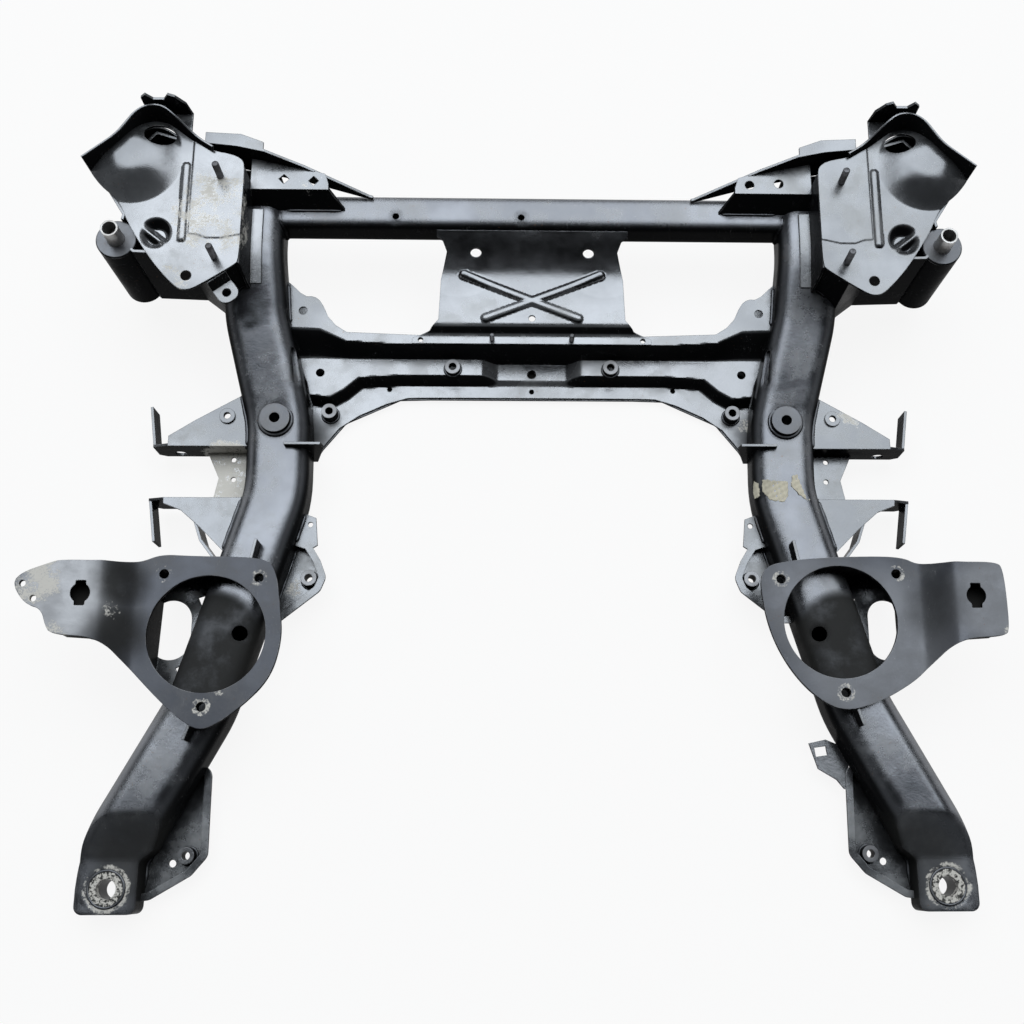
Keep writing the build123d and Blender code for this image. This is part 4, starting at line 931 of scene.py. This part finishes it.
# Panel between crossmember and tube: a smooth profile from front to rear, with two crossed beads
panel = {
    "half": [(-140, 19.5), (-140, 26), (-119, 34), (-109, 45), (-108, 70), (-107, 95), (-100, 127),
             (-105, 139), (-112, 142), (-112, 149.8)],
    "profile": [(19, 48), (32.5, 48), (36.5, 58.6), (50, 59), (75, 58.6), (98, 59.0), (120, 66), (138, 74),
                (151, 79)],
    "ribs": [((-80, 101), (54, 47)), ((80, 101), (-54, 47))],
    "ribWidth": 5.6,
    "ribRise": 3.6,
    "holes": [((0, 47), (4.0, 4.0)), ((-66, 126), (6.5, 5.0)), ((66, 126), (6.5, 5.0)),
              ((-130, 24), (3.0, 3.0)), ((130, 24), (3.0, 3.0))],
    "holeSides": 28,
    "thickness": 3.0,
    "cell": 1.3,
}


# Height of the panel: its profile from front to rear with cut corners, plus the higher of its two ribs
def panelHeight(x, y):
    at = np.stack([x, y], 1)
    profile = cutOpen(panel["profile"], 3)
    ribs = [roundTop(at, rib, panel["ribWidth"]) for rib in panel["ribs"]]
    return np.interp(y, profile[:, 0], profile[:, 1]) + panel["ribRise"] * np.maximum(*ribs)


panelOutline = np.array(panel["half"] + mirrored(panel["half"]), float)
holes = [ellipse(place, radii, panel["holeSides"]) for place, radii in panel["holes"]]
pressedSheet("panelPressing", panelOutline, holes, panelHeight, panel["thickness"], panel["cell"],
             "pressing_coat", ("ribbed_panel",))
print("panel pressed")


# Studs: places and the levels of their foot, thread and top
studs = {
    "tower_studs": {"places": [(-349.0, 176.0), (-349.5, 77.0), (349.0, 176.0), (349.5, 77.0)], "foot": 147.0,
                    "thread": 153.0, "top": 177.0, "radius": 4.0, "pitch": 1.25, "depth": 0.45},
    "panel_studs": {"places": [(-46.5, 25.0), (46.5, 25.0)], "foot": 48.2, "thread": 50.0, "top": 61.0,
                    "radius": 3.0, "pitch": 1.0, "depth": 0.38},
}
thread = {"sides": 36, "rowsPerTurn": 6, "inset": 0.02, "tipLength": 1.0, "tipDraw": 0.9, "leastRadius": 0.5}


# Radius by angle and height: the shank less a helical groove, which is a triangle wave of the height over
# the pitch less the share of a turn, eased in above the plain root, and less the tip's chamfer
def threadedStud(make, place):
    sides, rows = thread["sides"], int((make["top"] - make["foot"]) / make["pitch"] * thread["rowsPerTurn"])
    angle = np.linspace(0.0, 2.0 * np.pi, sides, endpoint=False)
    high = np.linspace(make["foot"], make["top"], rows)[:, None]
    turn = (high / make["pitch"] - angle[None, :] / (2.0 * np.pi)) % 1.0
    groove = make["depth"] * (1.0 - np.abs(2.0 * turn - 1.0))
    groove *= smoothStep((high - make["thread"]) / make["pitch"])
    tip = np.clip(high - (make["top"] - thread["tipLength"]), 0.0, thread["tipLength"])
    radius = make["radius"] - thread["inset"] - groove - thread["tipDraw"] * tip
    radius = np.clip(radius, thread["leastRadius"], None)
    return sweptBar(np.stack([place[0] + radius * np.cos(angle), place[1] + radius * np.sin(angle),
                              np.repeat(high, sides, 1)], -1))


for node, make in studs.items():
    points, faces = joined([threadedStud(make, place) for place in make["places"]])
    makePiece(node.replace("_s", "S") + "Threaded", points, faces, "stud_steel", (node,))
print("studs threaded")

# A shallow nut cage pressed under each wing's keyhole, painted dark as the shade inside it
cage = {
    "places": [(-475.0, -290.0), (476.0, -291.0)],
    "halfSize": (25.0, 28.0),
    "rim": 101.6,
    "rimWidth": 3.0,
    "depth": 15.0,
    "wall": 6.0,
    "thickness": 2.0,
    "cell": 1.6,
}


# Level at the rim, then down by a smooth step of the distance from the outline
def cageHeight(x, y, outline):
    _, gap = nearestOnLine(np.stack([x, y], 1), outline, True)
    return cage["rim"] - cage["depth"] * smoothStep((gap - cage["rimWidth"]) / cage["wall"])


for hand, place in zip(("left", "right"), cage["places"]):
    corners = np.array([(-1, -1), (1, -1), (1, 1), (-1, 1)]) * cage["halfSize"] + place
    cageOutline = cutCorners(corners, 3)
    nutCage = pressedSheet(hand + "NutCage", cageOutline, [], lambda x, y: cageHeight(x, y, cageOutline),
                           cage["thickness"], cage["cell"], "pressing_coat")
    # Painted shade: the cage seen through the keyhole is painted dark
    marked(nutCage, "paintedShade")
print("nut cages pressed")

# Weld beads: rough routes in millimetres on the left side, drawn on to the seam between two nodes
beads = {
    "step": 1.6,
    "ripple": 3.4,
    "coins": (0.84, 0.20),
    "unevenness": (0.06, 0.31),
    "endLeast": 0.06,
    "endPower": 12,
    "sides": 10,
    "phaseStep": 0.7,
    "seamPasses": 6,
    "upright": (0.13, 0.21, 0.97),
    "smoothAngle": 1.2,
    "routes": [
        ("rail", "rear_cross_tube",
         [(-291, 168, 87), (-291, 157, 86), (-292, 151, 80), (-294, 149, 70), (-295, 149, 50)], 3.0),
        ("rail", "clevis_rear", [(-329, -41, 37), (-327, -60, 37), (-326, -82, 37), (-326, -103, 37)], 2.4),
        ("rail", "clevis_rear", [(-326, -105, 34), (-326, -105, 6)], 2.2),
        ("rail", "clevis_front",
         [(-326, -168, 37), (-331, -190, 37), (-337, -208, 37), (-343, -226, 37)], 2.4),
        ("rail", "clevis_front", [(-326, -164, 34), (-326, -164, 6)], 2.2),
        ("rail", "clevis_web", [(-326, -112, 10), (-326, -134, 10), (-326, -158, 10)], 2.2),
        ("rail", "pocket_bracket", [(-256, -181, 19), (-259, -198, 19), (-263, -214, 19)], 2.6),
        ("rail", "pocket_bracket", [(-266, -214, 2), (-274, -240, 2), (-283, -268, 2), (-291, -294, 2)], 2.4),
        ("rail", "front_bracket",
         [(-357, -464, -9), (-380, -498, -9), (-398, -530, -9), (-411, -560, -9), (-417, -592, -9)], 2.4),
        ("rail", "crossmember_upper", [(-287, 94, 45), (-283, 70, 45), (-280, 46, 45)], 2.4),
        ("rail", "crossmember_upper", [(-278, 34, 36), (-278, 26, 28), (-277, 17, 18)], 2.2),
        ("left_rail", "left_plate_gussets", [(-302, -222, 51), (-309, -257, 51)], 2.2),
        ("right_rail", "right_plate_gussets", [(290, -222, 51), (297, -257, 51)], 2.2),
        ("tower_body", "bush_tube", [(-441, 91, 30), (-441, 91, 90), (-441, 91, 144)], 2.2),
        ("gusset", "rear_cross_tube", [(-286, 168, 87), (-255, 168, 87), (-222, 168, 87)], 2.0),
        ("rail", "tower_body", [(-343, 68, 80), (-338, 68, 82), (-330, 74, 84)], 2.2),
        ("clevis_front", "clevis_brace", [(-380, -170, 34), (-381, -186, 34)], 1.8),
        ("mount_plate", "plate_support", [(-416, -262, 72), (-414, -300, 72), (-414, -350, 72)], 2.0),
    ],
    # Rings round a boss, nut or sleeve: centre, radius of the seam, level, bead radius
    "rings": [
        ((-292.0, -77.0), 18.2, 51.2, 2.6),
        ((-446.5, -591.0), 19.0, 25.2, 1.6),
        ((-251.5, -254.0), 9.6, 3.4, 1.5),
        ((-371.0, -557.0), 9.6, -9.6, 1.5),
        ((-238.0, -52.0), 9.6, -2.6, 1.6),
        ((-93.5, 0.5), 9.6, 15.3, 1.6),
    ],
}


# Search tree over a node's faces, its corners put in their place in the frame
def nodeTree(node):
    corners = [node.matrix_world @ vertex.co for vertex in node.data.vertices]
    return BVHTree.FromPolygons(corners, [tuple(polygon.vertices) for polygon in node.data.polygons])


treeOf = {name: nodeTree(node) for name, node in frame["nodes"].items()}


# Each point goes to and fro between the two surfaces until it lies where they meet
def onSeam(points, first, second):
    settled = []
    for point in points * 0.001:
        at = Vector(point)
        for _ in range(beads["seamPasses"]):
            at = treeOf[first].find_nearest(at)[0]
            at = treeOf[second].find_nearest(at)[0]
        settled.append((at + treeOf[first].find_nearest(at)[0]) / 2.0)
    return np.array([tuple(at) for at in settled]) * 1000.0


# A bead: circles round a line, their radius rippled like laid coins by the size of a sine, made uneven by
# a slower one, and drawn in at both ends of an open line
def beadAlong(line, radius, closed=False, phase=0.0):
    if not closed:
        smoothed = line.copy()
        smoothed[1:-1] = (line[:-2] + 2.0 * line[1:-1] + line[2:]) / 4.0
        line = smoothed
    run = np.roll(line, -1, 0) - np.roll(line, 1, 0) if closed else np.gradient(line, axis=0)
    run /= np.linalg.norm(run, axis=1)[:, None] + 1e-9
    across = np.cross(run, beads["upright"])
    across /= np.linalg.norm(across, axis=1)[:, None] + 1e-9
    over = np.cross(run, across)
    reach = np.concatenate([[0.0], np.cumsum(np.linalg.norm(np.diff(line, axis=0), axis=1))])
    (base, rise), (wander, slow) = beads["coins"], beads["unevenness"]
    coins = base + rise * np.abs(np.sin(np.pi * reach / beads["ripple"] + phase))
    coins = coins + wander * np.sin(slow * reach + phase)
    if not closed:
        share = np.abs(2.0 * reach / reach[-1] - 1.0)
        least = beads["endLeast"]
        coins *= np.sqrt(np.clip(1.0 + least - share ** beads["endPower"], least, 1.0))
    angle = np.linspace(0.0, 2.0 * np.pi, beads["sides"], endpoint=False)[:, None]
    spokes = across[:, None] * np.cos(angle) + over[:, None] * np.sin(angle)
    return sweptBar(line[:, None] + (radius * coins)[:, None, None] * spokes, closed)


for side, hand in ((1, "left"), (-1, "right")):
    parts = []
    for number, (first, second, route, radius) in enumerate(beads["routes"]):
        own = first.startswith(("left", "right"))
        if own and not first.startswith(hand):
            continue
        names = [name if name in treeOf else hand + "_" + name for name in (first, second)]
        line, _ = spaced(flipped(route, 1 if own else side), beads["step"])
        parts.append(beadAlong(onSeam(line, *names), radius, False, beads["phaseStep"] * number))
    for centre, seam, level, radius in beads["rings"]:
        count = int(2.0 * np.pi * seam / beads["step"]) + 1
        circle = ellipse((side * centre[0], centre[1]), seam, count)
        circle = np.column_stack([circle, np.full(count, level)])
        parts.append(beadAlong(circle, radius, True, seam))
    points, faces = joined(parts)
    makePiece(hand + "WeldBeads", points, faces, "boss_coat", (), beads["smoothAngle"])
print("weld beads laid")


# Torn scraps of plain paper stuck across the right rail: outline points on its top, edges made ragged
scraps = {
    "outlines": [
        [(262, -146), (291, -148), (291, -165), (286, -172), (270, -170), (262, -159)],
        [(295, -153), (297, -141), (311, -136), (320, -138), (319, -152), (323, -166), (313, -170),
         (303, -163)],
        [(253, -147), (258, -150), (259, -164), (254, -167), (252, -158)],
    ],
    "railMiddle": (291.0, -176.0, 0.36),
    "railTop": 51.0,
    "flatHalf": 16.0,
    "cornerRadius": 20.0,
    "cornerShare": 0.93,
    "lift": 0.7,
    "thickness": 0.5,
    "cell": 0.8,
    "edgeStep": 1.2,
    # Waves of the crumpled paper: height, and how fast each runs along x and y
    "crumple": [(0.35, 1.1, 0.3), (0.25, 0.5, -0.9)],
    # The edge wanders by these sines of the reach along it, in a direction that turns with it
    "raggedness": 0.9,
    "tears": (2.9, 1.3),
    "fineTear": (0.4, 7.1),
    "tearTurn": 0.8,
}


# Rail top under the paper: flat in the middle, then falling along a quarter circle to each side
def paperHeight(x, y):
    middle, level, lean = scraps["railMiddle"]
    across = np.abs(x - middle - lean * (level - y)) / np.hypot(1.0, lean)
    over = np.clip(across - scraps["flatHalf"], 0.0, scraps["cornerShare"] * scraps["cornerRadius"])
    fall = scraps["cornerRadius"] - np.sqrt(scraps["cornerRadius"] ** 2 - over ** 2)
    crumple = sum(rise * np.sin(alongX * x + alongY * y) for rise, alongX, alongY in scraps["crumple"])
    return scraps["railTop"] + scraps["lift"] + crumple - fall


for number, corners in enumerate(scraps["outlines"]):
    line, reach = planLine(corners + corners[:1], 0, scraps["edgeStep"])
    line, reach = line[:-1, :2], reach[:-1]
    (coarse, slow), (share, quick) = scraps["tears"], scraps["fineTear"]
    ragged = np.sin(coarse * reach + number) * np.sin(slow * reach) + share * np.sin(quick * reach)
    heading = np.stack([np.cos(scraps["tearTurn"] * reach), np.sin(scraps["tearTurn"] * reach)], 1)
    torn = line + (scraps["raggedness"] * ragged)[:, None] * heading
    scrap = pressedSheet("paperScrap" + str(number + 1), torn, [], paperHeight, scraps["thickness"],
                         scraps["cell"], "plate_coat")
    marked(scrap, "paper")
print("paper scraps laid")


# Floor, light and camera
studio = {
    "floorHeight": -0.0136,
    "floorHalf": 6.0,
    "floorWhite": 0.9,
    "floorColour": (0.8, 0.8, 0.8, 1.0),
    "lampHeight": 6.0,
    "lampSide": 4.6,
    "lampFront": 0.22,
    "lampRear": 7.3,
    "lampPower": 610.0,
    "lampColour": (0.93, 0.97, 1.0),
    "cardReach": 16.0,
    "cardGap": 0.02,
    "cardColour": (0.01, 0.01, 0.01, 1.0),
    "skyLevel": 0.3,
    "skyColour": (0.92, 0.96, 1.0, 1.0),
}


# A level square: four corners at plus and minus its reach, facing up, or down where it is turned over
def levelSquare(name, reach, height, material, turned=False):
    mesh = bpy.data.meshes.new(name)
    signs = ((-1, -1), (1, -1), (1, 1), (-1, 1))
    corners = [(across * reach, along * reach, height) for across, along in signs]
    mesh.from_pydata(corners, [], [(0, 3, 2, 1) if turned else (0, 1, 2, 3)])
    mesh.update()
    mesh.materials.append(material)
    piece = bpy.data.objects.new(name, mesh)
    scene.collection.objects.link(piece)
    return piece


# White to what the camera sees straight, in a mirror face or through glass, by the share given, and one
# plain shader to all other rays: the share times the largest of the three ray marks mixes the two
def whiteWhenSeen(tree, outputKind, plainKind, whiteKind, share):
    tree.nodes.clear()
    output, blend, plain, white, rays = [tree.nodes.new("ShaderNode" + kind) for kind in (
        outputKind, "MixShader", plainKind, whiteKind, "LightPath")]
    white.inputs["Color"].default_value = (1.0, 1.0, 1.0, 1.0)
    seen = rays.outputs["Is Camera Ray"]
    for operation, other in (("MAXIMUM", rays.outputs["Is Glossy Ray"]),
                             ("MAXIMUM", rays.outputs["Is Transmission Ray"]), ("MULTIPLY", share)):
        node = tree.nodes.new("ShaderNodeMath")
        node.operation = operation
        tree.links.new(seen, node.inputs[0])
        if isinstance(other, float):
            node.inputs[1].default_value = other
        else:
            tree.links.new(other, node.inputs[1])
        seen = node.outputs[0]
    for socket, source in zip(blend.inputs, (seen, plain.outputs[0], white.outputs[0])):
        tree.links.new(source, socket)
    tree.links.new(blend.outputs[0], output.inputs["Surface"])
    return plain


paleFloor = bpy.data.materials.new("paleFloor")
paleFloor.use_nodes = True
matte = whiteWhenSeen(paleFloor.node_tree, "OutputMaterial", "BsdfDiffuse", "Emission", studio["floorWhite"])
matte.inputs["Color"].default_value = studio["floorColour"]
levelSquare("studioFloor", studio["floorHalf"], studio["floorHeight"], paleFloor)

world = bpy.data.worlds.new("studioSky")
world.use_nodes = True
scene.world = world
skyDim = whiteWhenSeen(world.node_tree, "OutputWorld", "Background", "Background", 1.0)
skyDim.inputs["Color"].default_value = studio["skyColour"]
skyDim.inputs["Strength"].default_value = studio["skyLevel"]

# The softbox hangs level over the rear of the part, so level steel mirrors it and walls do not
lampData = bpy.data.lights.new("softbox", "AREA")
lampData.shape = "RECTANGLE"
lampData.size = 2.0 * studio["lampSide"]
lampData.size_y = studio["lampRear"] - studio["lampFront"]
lampData.energy = studio["lampPower"]
lampData.color = studio["lampColour"]
lamp = bpy.data.objects.new("softbox", lampData)
lamp.location = (0.0, (studio["lampRear"] + studio["lampFront"]) / 2, studio["lampHeight"])
scene.collection.objects.link(lamp)

# A black card just above the softbox darkens what steel mirrors all round it, as in the photo
blackCard = bpy.data.materials.new("blackCard")
blackCard.use_nodes = True
cardShader = blackCard.node_tree.nodes["Principled BSDF"]
cardShader.inputs["Base Color"].default_value = studio["cardColour"]
cardShader.inputs["Roughness"].default_value = 1.0
cardHeight = studio["lampHeight"] + studio["cardGap"]
card = levelSquare("shadeCard", studio["cardReach"], cardHeight, blackCard, True)
card.visible_camera = False

# The photo's camera: its place in metres, its three directions, its lens and the shift to its side
view = {
    "place": (-0.00697, -0.5725, 1.4604),
    "right": (0.99966551, -0.00330147, 0.02565106),
    "up": (-0.00361971, 0.96419622, 0.26516512),
    "forward": (0.02560809, 0.26516927, -0.96386176),
    "lens": 45.703,
    "sideShift": -0.04552,
    "sensor": 36.0,
}
cameraData = bpy.data.cameras.new("photoCamera")
cameraData.sensor_width = view["sensor"]
cameraData.lens = view["lens"]
cameraData.shift_x = view["sideShift"]
camera = bpy.data.objects.new("photoCamera", cameraData)
columns = [Vector(view["right"]), Vector(view["up"]), -Vector(view["forward"])]
camera.matrix_world = Matrix.Translation(Vector(view["place"])) @ Matrix(columns).transposed().to_4x4()
scene.collection.objects.link(camera)
scene.camera = camera
print("floor, light and camera set")
